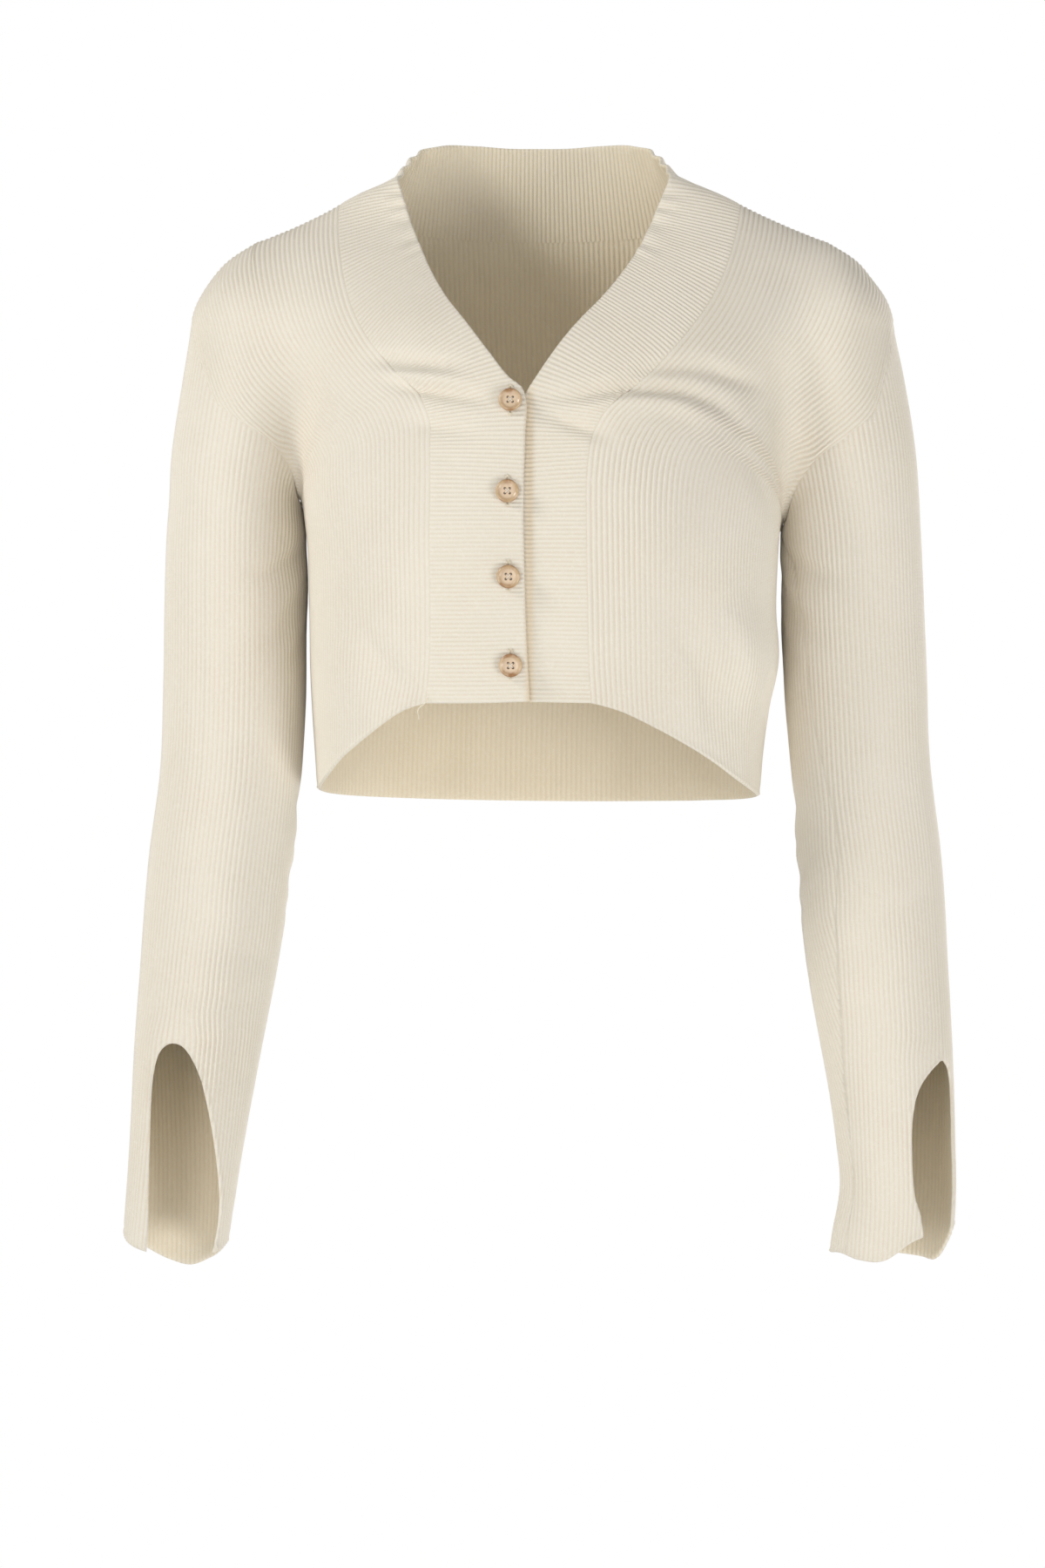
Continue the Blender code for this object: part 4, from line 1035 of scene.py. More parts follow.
def distance(points, lines):
    """How far each point is from the nearest of some lines."""
    target = np.concatenate([dense(np.asarray(line)) for line in lines]).astype(np.float32)
    flat = points.reshape(-1, 3).astype(np.float32)
    found = np.empty(len(flat), np.float32)
    squares = (target**2).sum(1)
    for i in range(0, len(flat), AT_ONCE):
        some = flat[i:i + AT_ONCE]
        apart = (some**2).sum(1)[:, None] + squares - 2 * some @ target.T
        found[i:i + AT_ONCE] = np.sqrt(np.maximum(apart.min(1), 0))
    return found.reshape(points.shape[:-1]).astype(float)


def lip(far, radius=LIP):
    """How far a rounded edge falls away, at some distance from the edge."""
    t = np.clip(1 - far / radius, 0, 1)
    return radius * (1 - np.sqrt(np.maximum(1 - t * t, 0)))


def kept_at(far, low, reach):
    """From low at an edge to 1 beyond some reach from it."""
    return low + (1 - low) * ease(far / reach)


def dip(far, depth, reach):
    return depth * (1 - ease(far / reach))


def hump(far, height, at, half_width):
    return height * np.exp(-(((far - at) / half_width) ** 2))


def unevenness(points, fields, seed):
    total = 1
    for number, (share, scale) in enumerate(fields):
        total = total + share * wander(points, scale, seed + number)
    return total


def ribbed(sheet, rib, seams, faint, frees, seed, soft=0.0):
    """A sheet with its place in the knit, and lifted by its ribs, seams and edges."""
    seam = distance(sheet.points, seams)
    slight = distance(sheet.points, faint) if faint else np.full(sheet.places.shape, FAR)
    either = np.minimum(seam, slight)
    free = distance(sheet.points, frees)
    profile = rib_profile(sheet.ribs / rib)
    lift = np.where(profile > 0, RIB_RISE, RIB_FALL) * profile
    lift = lift * unevenness(sheet.points, UNEVEN, seed) * (1 - soft)
    lift = lift * kept_at(either, *SEAM_FLAT) * kept_at(free, *EDGE_FLAT) - lip(free)
    lift = lift + hump(free, *ROLL) + hump(free, *ROLL_GROOVE)
    lift = lift - dip(seam, *SEAM_SINK) - dip(slight, *BAND_SINK)
    lift = lift + WAVE * wander(sheet.points, WAVE_SCALE, seed + 2) * ease(either / WAVE_FADE)
    return sheet._replace(lift=lift, uv=knit_uv(sheet, rib))


def knit_uv(sheet, rib):
    """Ribs across and millimetres along, for the stitches of the knit."""
    step = np.linalg.norm(np.diff(sheet.points, axis=0), axis=-1).mean(1)
    run = np.concatenate([[0], np.cumsum(step)])
    return np.stack([sheet.ribs / rib, np.broadcast_to(run[:, None], sheet.places.shape)], -1)


def panel_rows(count):
    """Rows of a base grid that a panel is made of."""
    return np.array([*HEM_ROWS, *range(1, count - 1), *(count - row for row in TOP_ROWS)], float)


def sinking(rows, count):
    """How much of the fall along a row counts towards its ribs: none at the hem, all above."""
    return ease(rows / (count - 1) / SINKING_REACH)


def make_front(name, finishes, side):
    base, normals = front_base(side)
    rows = panel_rows(len(base))
    sheet = spread(base, normals, rows, RIB / STEPS_PER_RIB, sinking(rows, len(base)))
    p = sheet.points
    hem = [p[0]]
    sheet = ribbed(sheet, RIB, [p[:, -1], p[-1]], [p[:, 0]], hem, FRONT_SEED[side])
    return build_shell(name, "single", [sheet], RIB / STEPS_PER_RIB, WALL, finishes, hem,
                       LIP_INSIDE)


def make_back(name, finishes):
    base, normals = back_base()
    rows = panel_rows(len(base))
    sheets = [
        spread(base[:, half], normals[:, half], rows, RIB / STEPS_PER_RIB,
               sinking(rows, len(base)))
        for half in (slice(BASE_COLUMNS, None, -1), slice(BASE_COLUMNS, None))
    ]
    hem = [s.points[0] for s in sheets]
    seams = [line for s in sheets for line in (s.points[:, -1], s.points[-1])]
    # Ribs run on over the middle: half a rib is added so that a ridge lies there.
    sheets = [ribbed(s._replace(ribs=s.ribs + RIB / 2), RIB, seams, [], hem, BACK_SEED)
              for s in sheets]
    return build_shell(name, "centre", sheets, RIB / STEPS_PER_RIB, WALL, finishes, hem,
                       LIP_INSIDE, every=1, row_step=3, inner_ribs=BACK_INNER_RIB)


def make_sleeve(name, finishes, side):
    sheets = []
    for way in (1, -1):
        base, normals, near, push = sleeve_base(side, way)
        count = len(base)
        rows = np.unique([*SLEEVE_TOP_ROWS, *range(1, count - 1),
                          *(count - row for row in CUFF_ROWS)]).astype(float)
        sheets.append(spread(base, normals, rows, SLEEVE_RIB / STEPS_PER_RIB,
                             np.zeros(len(rows)), near, push))
    closed = int(np.searchsorted(sheets[0].rows, SLEEVE_UPPER_ROWS))
    cuff = [s.points[-1] for s in sheets] + [s.points[closed:, 0] for s in sheets]
    seams = [line for s in sheets for line in (s.points[:, -1], s.points[0])]
    brushed = [BRUSHED * ease((BRUSHED_FROM - s.points[..., 2]) / BRUSHED_REACH) for s in sheets]
    sheets = [ribbed(s, SLEEVE_RIB, seams, [], cuff, SLEEVE_SEED[side], soft)
              for s, soft in zip(sheets, brushed)]
    return build_shell(name, "tube", sheets, SLEEVE_RIB / STEPS_PER_RIB, WALL, finishes, cuff,
                       LIP_INSIDE, closed=closed)


# Bands.

BAND_RIBS = 190
BAND_STEPS_PER_RIB = 5
# Shares of the width at which the columns of a band lie, and the one by its middle.
BAND_W = np.array([0, 0.012, 0.03, 0.06, 0.1, 0.16, 0.23, 0.31, 0.39, 0.47, 0.55, 0.63, 0.71,
                   0.78, 0.85, 0.91, 0.95, 0.975, 0.99, 1.0])
BAND_MIDDLE = 10
# A step so small that every column of a band is kept.
BAND_PITCH = 1e-6
BAND_RISE, BAND_FALL = 0.26, 0.29
BAND_UNEVEN = ((0.2, 18), (0.14, 5))
BAND_SEAM_FLAT = (0.3, 2.0)
BAND_EDGE_FLAT = (0.35, 2.6)
BAND_LIP = 1.2
# The stitch line of the turned end: depth, how far in, half width.
HEM_STITCH = (-0.34, 9.0, 0.9)
# The free edge ripples a little beside the neck: shares of the seam between which it does and
# reach of the fade, share of the width at which it starts and reach, and waves.
RIPPLE_FROM, RIPPLE_TO, RIPPLE_FADE = 0.5, 0.93, 0.08
RIPPLE_START, RIPPLE_REACH = 0.66, 0.34
RIPPLE_WAVES, RIPPLE_SWAY, RIPPLE_SWAY_WAVES = 150, 1.3, 47


def band_stations(side, free):
    """Shares of the seam at which the steps of the ribs lie, evenly spaced along the middle."""
    shares = np.linspace(0, 1, 801)
    edge = along(free, columns(BAND_STATIONS[side], shares)[0], BAND_FINE)
    middle = (along(band_line(side)[0], shares, BAND_FINE) + edge) / 2
    return np.interp(np.linspace(0, 1, BAND_RIBS * BAND_STEPS_PER_RIB + 1), lengths(middle), shares)


def band_grid(side):
    """Points and ways out of a band, a row a step along it, from the hem to the back's middle."""
    shoulder = band_line(side)[1]
    free = np.concatenate([on_front(BAND_EDGE_CHEST[side]), BAND_EDGE_NECK[side]])
    stations = band_stations(side, free)
    seam = band_seam(side, stations)
    free = along(free, columns(BAND_STATIONS[side], stations)[0], BAND_FINE)
    w = BAND_W[None, :, None]
    ruled = seam.points[:, None] * (1 - w) + free[:, None] * w
    standing = ease((stations / shoulder - BAND_LEAVES) / (BAND_STANDS - BAND_LEAVES))
    standing = standing[:, None, None]
    grid = settle(body_shape, ruled) * (1 - standing) + ruled * standing
    normals = unit(np.cross(np.gradient(grid, BAND_W, axis=1), np.gradient(grid, axis=0)))
    normals *= np.sign((normals * slope(body_shape, grid)).sum((1, 2), keepdims=True))
    shift = chest_shift(grid[..., [0, 2]]) * ease((1 - stations / shoulder) / SHIFT_FADE)[:, None]
    lap = LAP_LIFT[side] * ease(BAND_W / LAP_REACH)
    lap = lap * ease((LAP_NONE - grid[:, :1, 2]) / (LAP_NONE - LAP_FULL))
    ripple = np.sin(stations * RIPPLE_WAVES + RIPPLE_SWAY * np.sin(stations * RIPPLE_SWAY_WAVES))
    ripple = ripple * (ease((stations - RIPPLE_FROM) / RIPPLE_FADE)
                       * ease((RIPPLE_TO - stations) / RIPPLE_FADE))
    ripple = ripple[:, None] * ease((BAND_W - RIPPLE_START) / RIPPLE_REACH)
    grid = grid + normals * (shift + lap)[..., None]
    grid = grid + normals * ripple[..., None]
    grid[:, 0] = seam.points
    pull_in(grid, (slice(None), 0), (slice(None), 2), seam._replace(normals=normals[:, 0]))
    pull_in(grid, -1, -3, seam_of(grid[-1], normals[-1]))
    return grid, normals


def make_band(name, finishes, side):
    grid, normals = band_grid(side)
    places = np.array([run_of(row) for row in grid])
    rows = np.arange(len(grid)) / BAND_STEPS_PER_RIB
    frees = [grid[:, -1], grid[0]]
    seam = distance(grid, [grid[:, 0], grid[-1]])
    free = distance(grid, frees)
    profile = rib_profile(rows)[:, None]
    lift = np.where(profile > 0, BAND_RISE, BAND_FALL) * profile
    lift = lift * unevenness(grid, BAND_UNEVEN, BAND_SEED[side])
    lift = lift * kept_at(seam, *BAND_SEAM_FLAT) * kept_at(free, *BAND_EDGE_FLAT)
    lift = lift - dip(seam, *BAND_SINK) - lip(free, BAND_LIP)
    lift = lift + hump(run_of(grid[:, BAND_MIDDLE]), *HEM_STITCH)[:, None]
    uv = np.stack([np.broadcast_to(rows[:, None], places.shape), places], -1)
    sheet = Sheet(grid, normals, places, places[:, -1], rows, places, lift, uv)
    return build_shell(name, "single", [sheet], BAND_PITCH, BAND_WALL, finishes, frees, LIP,
                       every=1, row_step=3)


# Materials.

def put(tree, socket, value):
    """A value, or another node's output, into a socket."""
    if isinstance(value, bpy.types.NodeSocket):
        tree.links.new(value, socket)
    else:
        socket.default_value = value


def add_node(tree, kind, inputs=(), **settings):
    """A shader node with its settings, and inputs by name: values, or sockets to link."""
    made = tree.nodes.new(kind)
    for key, value in settings.items():
        setattr(made, key, value)
    for key, value in dict(inputs).items():
        put(tree, made.inputs[key], value)
    return made


def maths(tree, operation, *values):
    return add_node(tree, "ShaderNodeMath", dict(enumerate(values)), operation=operation).outputs[0]


def sums(tree):
    """Short names for the sums of a material."""
    return (partial(maths, tree, operation)
            for operation in ("ADD", "SUBTRACT", "MULTIPLY", "ABSOLUTE"))


def mixed(tree, factor, one, two):
    made = add_node(tree, "ShaderNodeMix", data_type="RGBA")
    for key, value in (("Factor", factor), ("A", one), ("B", two)):
        put(tree, next(s for s in made.inputs if s.enabled and s.name == key), value)
    return next(s for s in made.outputs if s.enabled)


def ramp(tree, value, low, high, out_low=0.0, out_high=1.0):
    made = add_node(tree, "ShaderNodeMapRange", {
        "Value": value, "From Min": low, "From Max": high, "To Min": out_low,
        "To Max": out_high}, interpolation_type="SMOOTHSTEP")
    return made.outputs["Result"]


def noise(tree, where, scale, detail, rough):
    return add_node(tree, "ShaderNodeTexNoise", {
        "Vector": where, "Scale": scale, "Detail": detail, "Roughness": rough}).outputs["Fac"]


def new_material(name):
    made = bpy.data.materials.new(name)
    made.use_nodes = True
    return made, made.node_tree, made.node_tree.nodes["Principled BSDF"]


def finish_surface(tree, shader, colour, height, strength, distance, **constants):
    """Colour and bump into a shader, and its constants by name."""
    put(tree, shader.inputs["Base Color"], colour)
    for key, value in constants.items():
        shader.inputs[key.replace("_", " ")].default_value = value
    bump = add_node(tree, "ShaderNodeBump", {
        "Height": height, "Strength": strength, "Distance": distance})
    put(tree, shader.inputs["Normal"], bump.outputs[0])


CREAM = (0.84, 0.785, 0.68, 1)
# Painted shade of the grooves and the gaps between loops; in the threads, their darker ply.
CREAM_SHADE_AND_DARK_PLY = (0.68, 0.57, 0.41, 1)
CREAM_PALE = (0.90, 0.86, 0.78, 1)
# The inner side: a lighter, warmer cream, painted with the golden light bounced inside the garment.
CREAM_INSIDE_WARM_BOUNCE = (0.88, 0.79, 0.61, 1)
# Colour of the painted shadow beside the lap's edge.
CREAM_PAINTED_LAP_SHADOW = (0.74, 0.58, 0.35, 1)
# Noises of the knit and threads: scale, detail, roughness.
FINE_HAIR, PILE = (1500.0, 3.0, 0.65), (620.0, 2.0, 0.6)
BROAD, SLOW, PLY = (34.0, 2.0, 0.5), (9.0, 1.0, 0.5), (2600.0, 2.0, 0.6)
# Length of a loop, and how far the loops slant across half a rib, in loops.
LOOP_LENGTH, LOOP_SLANT = 1.5, 1.5
# How strongly painted shade darkens the grooves, outside and inside, and the gaps between loops.
GROOVE_SHADE, INSIDE_GROOVE_SHADE, LOOP_GAP_SHADE = 0.42, 0.3, 0.07
# Painted shadow: beside the lap's edge, where the lap's shadow falls, the cloth is mixed towards a
# yellowed cream: place and half width in metres, strength, and heights between which it sets in.
LAP_SHADOW_X, LAP_SHADOW_HALF, LAP_SHADOW_STRENGTH = -0.0062, 0.0042, 0.45
LAP_SHADOW_TOP, LAP_SHADOW_FULL = -0.110, -0.122
# Bump of loops, pile, fine hair, and of ribs where the mesh has none.
LOOP_BUMP, PILE_BUMP, FINE_BUMP, RIB_BUMP = 0.10, 0.30, 0.16, 0.34


def knit_material(name, inner=False, rib_bump=0.0, painted_lap_shadow=False):
    """Brushed rib knit: soft loops along each rib, fine pile, grooves darkened by painted shade."""
    made, tree, shader = new_material(name)
    add, subtract, multiply, absolute = sums(tree)
    uv = add_node(tree, "ShaderNodeUVMap", uv_map="knit").outputs[0]
    place = add_node(tree, "ShaderNodeTexCoord").outputs["Object"]
    phase, run = add_node(tree, "ShaderNodeSeparateXYZ", {0: uv}).outputs[:2]
    # Where across its rib a point lies: 0 in a groove, 1 on the ridge.
    off = absolute(subtract(maths(tree, "FRACT", phase), 0.5))
    ridge = ramp(tree, off, 0.5, 0.12)
    # Loops: slanted both ways from the middle of the rib.
    course = add(maths(tree, "DIVIDE", run, LOOP_LENGTH), multiply(off, LOOP_SLANT))
    loop = ramp(tree, absolute(subtract(maths(tree, "FRACT", course), 0.5)), 0.0, 0.5)
    fine = noise(tree, place, *FINE_HAIR)
    pile = noise(tree, place, *PILE)
    broad = noise(tree, place, *BROAD)
    slow = noise(tree, place, *SLOW)
    # Painted shade: grooves and the gaps between loops are darkened towards the shade colour.
    depth = multiply(subtract(1.0, ridge), INSIDE_GROOVE_SHADE if inner else GROOVE_SHADE)
    depth = add(depth, multiply(subtract(1.0, loop), LOOP_GAP_SHADE))
    depth = multiply(depth, ramp(tree, broad, 0.2, 0.8, 0.7, 1.15))
    # The inner side starts from the cream painted with bounced light.
    colour = mixed(tree, depth, CREAM_INSIDE_WARM_BOUNCE if inner else CREAM, CREAM_SHADE_AND_DARK_PLY)
    colour = mixed(tree, ramp(tree, pile, 0.45, 0.8, 0.0, 0.35), colour, CREAM_PALE)
    colour = mixed(tree, ramp(tree, slow, 0.3, 0.7, 0.0, 0.16), colour, CREAM_PALE)
    # Painted shadow: a yellowed line on the band beside the lap's edge.
    if painted_lap_shadow:
        x, _, z = add_node(tree, "ShaderNodeSeparateXYZ", {0: place}).outputs
        line = ramp(tree, absolute(subtract(x, LAP_SHADOW_X)), LAP_SHADOW_HALF, 0.0, 0.0, LAP_SHADOW_STRENGTH)
        line = multiply(line, ramp(tree, z, LAP_SHADOW_TOP, LAP_SHADOW_FULL))
        colour = mixed(tree, line, colour, CREAM_PAINTED_LAP_SHADOW)
    height = multiply(loop, multiply(ridge, LOOP_BUMP))
    height = add(height, multiply(pile, PILE_BUMP))
    height = add(height, multiply(fine, FINE_BUMP))
    if rib_bump:
        height = add(height, multiply(ridge, rib_bump))
    finish_surface(tree, shader, colour, height, 0.75, 0.001, Roughness=0.92,
                   Specular_IOR_Level=0.22, Sheen_Weight=0.28, Sheen_Roughness=0.45,
                   Sheen_Tint=(1.0, 0.97, 0.90, 1))
    return made


HORN_TAN = (0.54, 0.37, 0.20, 1)
HORN_PALE = (0.68, 0.50, 0.32, 1)
HORN_BROWN = (0.33, 0.155, 0.055, 1)
HORN_VEIN = (0.74, 0.60, 0.43, 1)
HORN_DISH = (0.80, 0.63, 0.47, 1)
HORN_CLOUD, HORN_GRAIN = (2.1, 2.0, 0.5), (7.0, 4.0, 0.6)


def horn_material(name, seed):
    """Polished horn: tan with browner clouds at two sides of the rim."""
    made, tree, shader = new_material(name)
    add, subtract, multiply, absolute = sums(tree)
    place = add_node(tree, "ShaderNodeTexCoord").outputs["Generated"]
    moved = add_node(tree, "ShaderNodeMapping", {"Vector": place, "Location": (seed, seed, 0)})
    cloud = noise(tree, moved.outputs[0], *HORN_CLOUD)
    vein = noise(tree, moved.outputs[0], *HORN_GRAIN)
    x, _, z = add_node(tree, "ShaderNodeSeparateXYZ", {0: place}).outputs
    beside, from_middle = absolute(subtract(x, 0.5)), absolute(subtract(z, 0.5))
    dish = ramp(tree, add(multiply(beside, beside), multiply(from_middle, from_middle)), 0.15, 0.05)
    brown = ramp(tree, add(multiply(from_middle, 1.1), cloud), 0.74, 1.12)
    colour = mixed(tree, ramp(tree, cloud, 0.35, 0.65), HORN_TAN, HORN_PALE)
    colour = mixed(tree, brown, colour, HORN_BROWN)
    colour = mixed(tree, ramp(tree, vein, 0.45, 0.75, 0.0, 0.35), colour, HORN_VEIN)
    colour = mixed(tree, multiply(dish, 0.62), colour, HORN_DISH)
    finish_surface(tree, shader, colour, vein, 0.12, 0.0004, Roughness=0.3, Coat_Weight=0.25,
                   Coat_Roughness=0.15)
    return made


def thread_material(name, colour):
    made, tree, shader = new_material(name)
    place = add_node(tree, "ShaderNodeTexCoord").outputs["Object"]
    fine = noise(tree, place, *PLY)
    tone = mixed(tree, ramp(tree, fine, 0.3, 0.7, 0.0, 0.3), colour, CREAM_SHADE_AND_DARK_PLY)
    finish_surface(tree, shader, tone, fine, 0.5, 0.0002, Roughness=0.7, Sheen_Weight=0.2)
    return made


# Buttons, buttonholes and threads.

BUTTONS = ((-16.6, -123.5), (-18.2, -174), (-17.6, -220.5), (-16.4, -269))
BUTTON_GAP = 0.9
# Outline of a button from its back to its dish: radius, height.
BUTTON_PROFILE = np.array([
    (0.0, 0.0), (5.2, 0.0), (5.9, 0.25), (6.35, 0.75), (6.5, 1.35), (6.42, 1.95), (6.1, 2.4),
    (5.65, 2.6), (5.2, 2.55), (4.75, 2.3), (4.35, 2.0), (3.9, 1.85), (3.0, 1.8), (0.0, 1.8)])
BUTTON_SIDES = 72
BUTTON_HOLE_SPACING = 2.7
# What is bored out for a hole: radius, height.
BORE_PROFILE = np.array([(0, -1), (0.72, -1), (0.72, 4), (0, 4)], float)
BORE_SIDES = 20
BUTTON_SHARP_ANGLE = math.radians(50)
# Strands of a cross: radius, how far the two of a pair lie from its middle, how high they
# arch, how far one pair lies above the other, how unevenly, and the share of a strand at each
# end that goes down a hole, and how deep.
STRAND, STRAND_APART, STRAND_ARCH = 0.12, 0.12, 0.3
STRAND_LEVEL, STRAND_UNEVEN = 0.14, 0.03
STRAND_END, STRAND_DEPTH = 0.06, 1.0
SHANK = 0.34
# Ends of a thread: how much thinner.
THREAD_END = 0.45
# The loose end of yarn: radius, where it starts across and in height, how far out, its way.
YARN, LOOSE_START, LOOSE_OUT = 0.32, np.array([(-62.5, -287.0)]), 0.6
LOOSE_WAY = np.array([
    (0, 0, 0), (-0.9, -1.2, -2.2), (-2.2, -1.4, -3.9), (-3.9, -1.1, -5.0),
    (-5.2, -0.9, -6.6), (-5.6, -0.9, -8.6), (-4.9, -1.0, -10.4), (-5.3, -1.0, -12.4)])
# Stitches round a buttonhole: how many, half length and half width of the slit, how square
# it is, how far its middle lies above the button's, reach of a stitch, how unevenly, radius.
STITCHES, SLIT_HALF_LENGTH, SLIT_HALF_WIDTH, SLIT_SQUARE = 68, 7.6, 0.55, 0.4
SLIT_ABOVE, STITCH_REACH, STITCH_UNEVEN, STITCH = 0.6, 1.25, 0.15, 0.2


def turned(profile, sides):
    """Points and faces of a solid turned about Z from radii and heights, bottom to top."""
    points = [(0, 0, profile[0][1])]
    angles = np.arange(sides) * 2 * math.pi / sides
    for radius, height in profile[1:-1]:
        points += [(radius * math.cos(a), radius * math.sin(a), height) for a in angles]
    points.append((0, 0, profile[-1][1]))
    rings = len(profile) - 2
    faces = []
    for k in range(sides):
        n = (k + 1) % sides
        faces.append([0, 1 + n, 1 + k])
        for ring in range(rings - 1):
            low, high = 1 + ring * sides, 1 + (ring + 1) * sides
            faces.append([low + k, low + n, high + n, high + k])
        top = 1 + (rings - 1) * sides
        faces.append([top + k, top + n, len(points) - 1])
    return np.array(points, float), faces


def facing(place):
    """Where a button sits on the lap: its seat, and its ways across, up and out."""
    seat = on_front(np.array([place]))[0]
    out = unit(slope(body_shape, seat))
    across = unit(np.cross((0, 0, 1), out))
    rise = chest_shift(seat[[0, 2]]) + LAP_LIFT[RIGHT]
    return seat + out * rise, np.stack([across, np.cross(out, across), out])


def button_holes():
    """Middles of the four holes, across and up."""
    half = BUTTON_HOLE_SPACING / 2
    return [(-half, -half), (half, -half), (half, half), (-half, half)]


def make_button(name, place, finish):
    made = link(name, new_mesh(name, *turned(BUTTON_PROFILE, BUTTON_SIDES)))
    bore, sides = turned(BORE_PROFILE, BORE_SIDES)
    for x, y in button_holes():
        cutter = link("bore", new_mesh("bore", bore + (x, y, 0), sides))
        cut = made.modifiers.new("hole", "BOOLEAN")
        cut.operation, cut.object = "DIFFERENCE", cutter
        bpy.context.view_layer.update()
        seen = made.evaluated_get(bpy.context.evaluated_depsgraph_get())
        bored = bpy.data.meshes.new_from_object(seen)
        made.modifiers.clear()
        made.data = bored
        bpy.data.objects.remove(cutter)
    mesh = made.data
    seat, ways = facing(place)
    corners = np.empty(len(mesh.vertices) * 3)
    mesh.vertices.foreach_get("co", corners)
    corners = seat + (corners.reshape(-1, 3) / MM + (0, 0, BUTTON_GAP)) @ ways
    mesh.vertices.foreach_set("co", (corners * MM).ravel())
    mesh.materials.clear()
    mesh.materials.append(finish)
    mesh.shade_smooth()
    mesh.set_sharp_from_angle(angle=BUTTON_SHARP_ANGLE)
    return made


def tube(points, radius, sides=8):
    """Points and faces of a closed round tube along a line, with rounded ends."""
    points = np.asarray(points, float)
    ways = unit(np.gradient(points, axis=0))
    side = np.cross(ways[0], (0.3, 0.5, 0.8))
    rings = []
    count = len(points)
    for i, (point, way) in enumerate(zip(points, ways)):
        side = unit(side - way * (side @ way))
        other = np.cross(way, side)
        r = radius * (THREAD_END if i in (0, count - 1) else 1.0)
        angles = np.arange(sides) * 2 * math.pi / sides
        rings.append(point + r * (np.cos(angles)[:, None] * side + np.sin(angles)[:, None] * other))
    faces = [list(range(sides))[::-1], [(count - 1) * sides + k for k in range(sides)]]
    for i in range(count - 1):
        for k in range(sides):
            n = (k + 1) % sides
            faces.append([i * sides + k, i * sides + n, (i + 1) * sides + n, (i + 1) * sides + k])
    return np.concatenate(rings), faces


def joined(pieces):
    points, faces, start = [], [], 0
    for some, more in pieces:
        points.append(some)
        faces += [[n + start for n in face] for face in more]
        start += len(some)
    return np.concatenate(points), faces


def plain_object(name, points, faces, finish):
    mesh = new_mesh(name, points, faces)
    face_outwards(mesh)
    mesh.shade_smooth()
    mesh.materials.append(finish)
    return link(name, mesh)


def sewn(name, strands, place, finish):
    """Strands at a button as one object, from points across, up and out."""
    points, faces = joined(strands)
    seat, ways = facing(place)
    return plain_object(name, seat + points @ ways, faces, finish)


def make_cross(name, place, finish, seed):
    """Sewing thread through a button: two crossed pairs of strands, and the shank beneath."""
    draw = np.random.default_rng(seed)
    holes = button_holes()
    top = BUTTON_GAP + BUTTON_PROFILE[-1, 1]
    s = np.linspace(0, 1, 15)
    arch = STRAND_ARCH * np.sin(np.pi * s) ** 0.5
    strands = []
    for level, (a, b) in enumerate(((0, 2), (1, 3))):
        for shift in (-STRAND_APART, STRAND_APART):
            (ax, ay), (bx, by) = holes[a], holes[b]
            off = np.array([-(by - ay), bx - ax]) / math.hypot(bx - ax, by - ay) * shift
            z = top + (arch + level * STRAND_LEVEL) + draw.uniform(-STRAND_UNEVEN, STRAND_UNEVEN)
            z = np.where(np.minimum(s, 1 - s) < STRAND_END, top - STRAND_DEPTH, z)
            strands.append(tube(np.stack([
                ax + (bx - ax) * s + off[0], ay + (by - ay) * s + off[1], z], -1), STRAND))
    for x, y in holes:
        strands.append(tube([(x * 0.8, y * 0.8, 0.05), (x * 0.9, y * 0.9, 0.5),
                             (x, y, BUTTON_GAP + 0.1), (x, y, BUTTON_GAP + 0.7)], SHANK))
    return sewn(name, strands, place, finish)


def make_buttonhole(name, place, finish, seed):
    """Close stitches round an upright slit behind a button."""
    draw = np.random.default_rng(seed)
    strands = []
    for k in range(STITCHES):
        t = k / STITCHES * 2 * math.pi
        across, up = math.cos(t), math.sin(t)
        start = np.array([
            SLIT_HALF_WIDTH * math.copysign(abs(across) ** SLIT_SQUARE, across),
            SLIT_HALF_LENGTH * up + SLIT_ABOVE])
        way = unit(np.array([
            across, 0.35 * up if abs(across) > 0.3 else math.copysign(1.0, up)]))
        end = start + way * (STITCH_REACH + draw.uniform(-STITCH_UNEVEN, STITCH_UNEVEN))
        middle = (start + end) / 2
        strands.append(tube([(*start, -0.1), (*start, 0.42), (*middle, 0.58), (*end, 0.34),
                             (*end, -0.1)], STITCH, 6))
    return sewn(name, strands, place, finish)


def make_loose_thread(finish):
    """The end of yarn that hangs at the hem by the right band."""
    start = on_front(LOOSE_START)[0] - (0, LOOSE_OUT, 0)
    points, faces = tube(along(start + LOOSE_WAY, np.linspace(0, 1, 36)), YARN)
    return plain_object("loose_yarn", points, faces, finish)


# The scene.

# The outer finish of the bands carries the painted shadow beside the lap's edge.
finishes = {
    slot: (knit_material(f"knit_{slot}", painted_lap_shadow=slot == "bands"),
           knit_material(f"knit_{slot}_inside", True, 0.0 if slot == "back" else RIB_BUMP))
    for slot in ("fronts", "back", "sleeves", "bands")
}
# Each piece: how it is made, its slot, and its cut before it was worn: width and length in
# metres, and area in square metres.
PIECES = {
    "front_right": (partial(make_front, side=RIGHT), "fronts", 0.155, 0.40, 0.0400),
    "front_left": (partial(make_front, side=LEFT), "fronts", 0.19, 0.40, 0.0500),
    "back": (make_back, "back", 0.47, 0.40, 0.1290),
    "sleeve_right": (partial(make_sleeve, side=RIGHT), "sleeves", 0.30, 0.55, 0.1080),
    "sleeve_left": (partial(make_sleeve, side=LEFT), "sleeves", 0.30, 0.55, 0.1090),
    "band_right": (partial(make_band, side=RIGHT), "bands", 0.040, 0.56, 0.0222),
    "band_left": (partial(make_band, side=LEFT), "bands", 0.040, 0.59, 0.0230),
}


def place_piece(piece, node=None):
    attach(piece, "root")
    if node:
        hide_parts(node)


for node, (make, slot, width, length, area) in PIECES.items():
    shell = make(f"{node}_knit", finishes[slot])
    place_piece(shell, node)

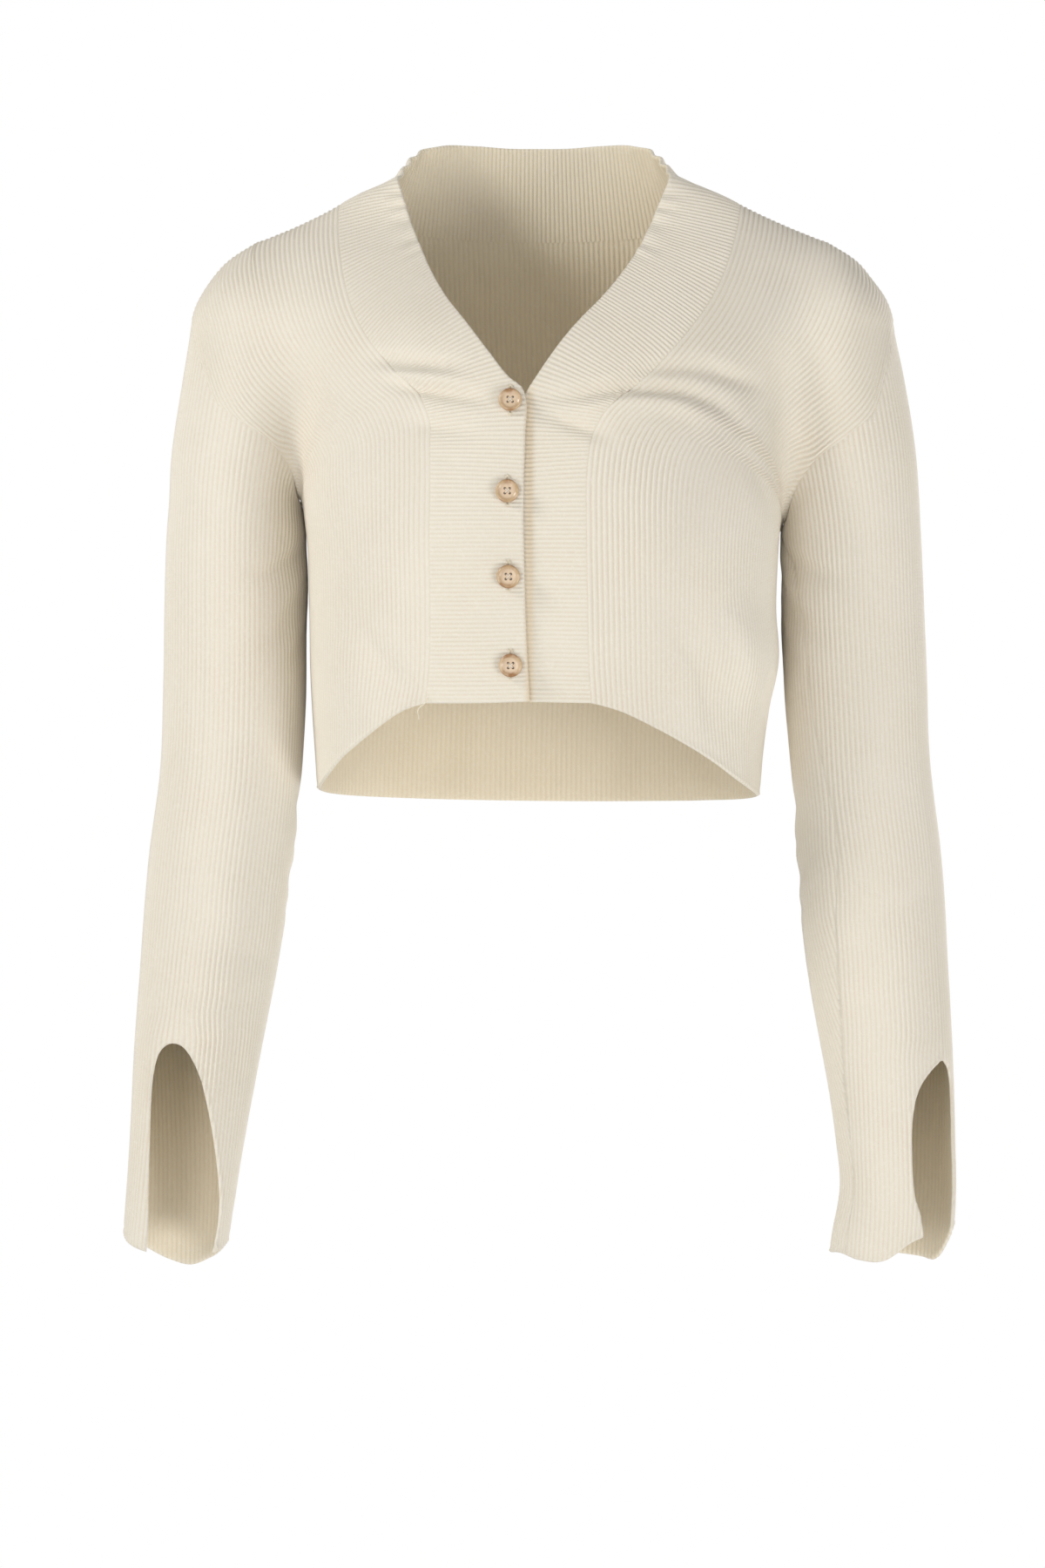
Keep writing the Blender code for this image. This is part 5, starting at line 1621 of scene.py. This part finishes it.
# What makes buttons, crosses and buttonholes differ.
HORN_SEED, CROSS_SEED, HOLE_SEED = 1.7, 70, 80
white_thread = thread_material("sewing_thread", (0.88, 0.82, 0.72, 1))
yarn = thread_material("yarn", (0.84, 0.77, 0.62, 1))
for number, place in enumerate(BUTTONS, 1):
    node = f"button_{number}"
    horn = horn_material(f"horn_{number}", number * HORN_SEED)
    place_piece(make_button(f"{node}_horn", place, horn), node)
    place_piece(make_cross(f"{node}_thread", place, white_thread, CROSS_SEED + number))
    place_piece(make_buttonhole(f"buttonhole_{number}", place, yarn, HOLE_SEED + number))
place_piece(make_loose_thread(yarn))

# Floor, light and camera.

FLOOR_Z, FLOOR_RADIUS, FLOOR_SIDES = -1250, 7000, 96
# Distances in metres between which the floor fades into the background.
FLOOR_SOLID, FLOOR_GONE = 0.7, 2.7
# Light of the sky from below and from above, and its brightness as it is seen.
SKY_LOW, SKY_HIGH, SKY_SEEN = 0.80, 0.34, 1.0
CAMERA_PLACE, CAMERA_LENS, CAMERA_SENSOR = (-0.010, -2.8, -0.335), 112, 36


def make_floor():
    turns = np.arange(FLOOR_SIDES) * 2 * math.pi / FLOOR_SIDES
    rim = [(FLOOR_RADIUS * math.cos(a), FLOOR_RADIUS * math.sin(a), FLOOR_Z) for a in turns]
    mesh = new_mesh("floor", rim, [list(range(FLOOR_SIDES))])
    made, tree, shader = new_material("floor")
    shader.inputs["Base Color"].default_value = (0.93, 0.93, 0.925, 1)
    shader.inputs["Roughness"].default_value = 0.9
    place = add_node(tree, "ShaderNodeTexCoord").outputs["Object"]
    flat = add_node(tree, "ShaderNodeVectorMath", {0: place, 1: (1, 1, 0)}, operation="MULTIPLY")
    far = add_node(tree, "ShaderNodeVectorMath", {0: flat.outputs[0]}, operation="LENGTH")
    fade = ramp(tree, far.outputs["Value"], FLOOR_SOLID, FLOOR_GONE)
    clear = add_node(tree, "ShaderNodeBsdfTransparent")
    both = add_node(tree, "ShaderNodeMixShader", {0: fade, 1: shader.outputs[0],
                                                  2: clear.outputs[0]})
    put(tree, tree.nodes["Material Output"].inputs["Surface"], both.outputs[0])
    mesh.materials.append(made)
    link("floor", mesh)


def make_light(name, place, aim, size, watts, colour):
    data = bpy.data.lights.new(name, "AREA")
    data.shape, data.size, data.energy, data.color = "DISK", size, watts, colour
    lamp = link(name, data)
    lamp.location = place
    lamp.rotation_euler = (Vector(aim) - Vector(place)).to_track_quat("-Z", "Y").to_euler()


make_floor()
world = bpy.data.worlds.new("studio")
bpy.context.scene.world = world
world.use_nodes = True
air = world.node_tree
sky = air.nodes["Background"]
sky.inputs["Color"].default_value = (1, 1, 1, 1)
seen = add_node(air, "ShaderNodeLightPath").outputs["Is Camera Ray"]
way = add_node(air, "ShaderNodeTexCoord").outputs["Generated"]
rise = add_node(air, "ShaderNodeSeparateXYZ", {0: way}).outputs[2]
glow = ramp(air, rise, -0.9, 0.9, SKY_LOW, SKY_HIGH)
glow = maths(air, "ADD", maths(air, "MULTIPLY", glow, maths(air, "SUBTRACT", 1.0, seen)),
             maths(air, "MULTIPLY", seen, SKY_SEEN))
put(air, sky.inputs["Strength"], glow)
bpy.context.scene.view_settings.view_transform = "Standard"
make_light("key", (-2.6, -1.3, 1.6), (0, 0, -0.3), 0.9, 44, (1.0, 0.99, 0.97))
make_light("low_left", (-1.2, -2.4, -1.0), (0, 0, -0.3), 0.9, 12, (1.0, 0.99, 0.97))
make_light("low", (2.0, -2.0, -1.1), (0.1, 0, -0.4), 1.2, 27, (1.0, 0.99, 0.98))
make_light("rear", (2.0, 2.3, 0.3), (0, 0, -0.3), 1.0, 34, (1.0, 0.99, 0.98))

view = bpy.data.cameras.new("camera")
view.sensor_fit, view.lens = "VERTICAL", CAMERA_LENS
view.sensor_height = view.sensor_width = CAMERA_SENSOR
camera = link("camera", view)
camera.location = CAMERA_PLACE
camera.rotation_euler = (math.pi / 2, 0, 0)
bpy.context.scene.camera = camera

bpy.context.view_layer.update()
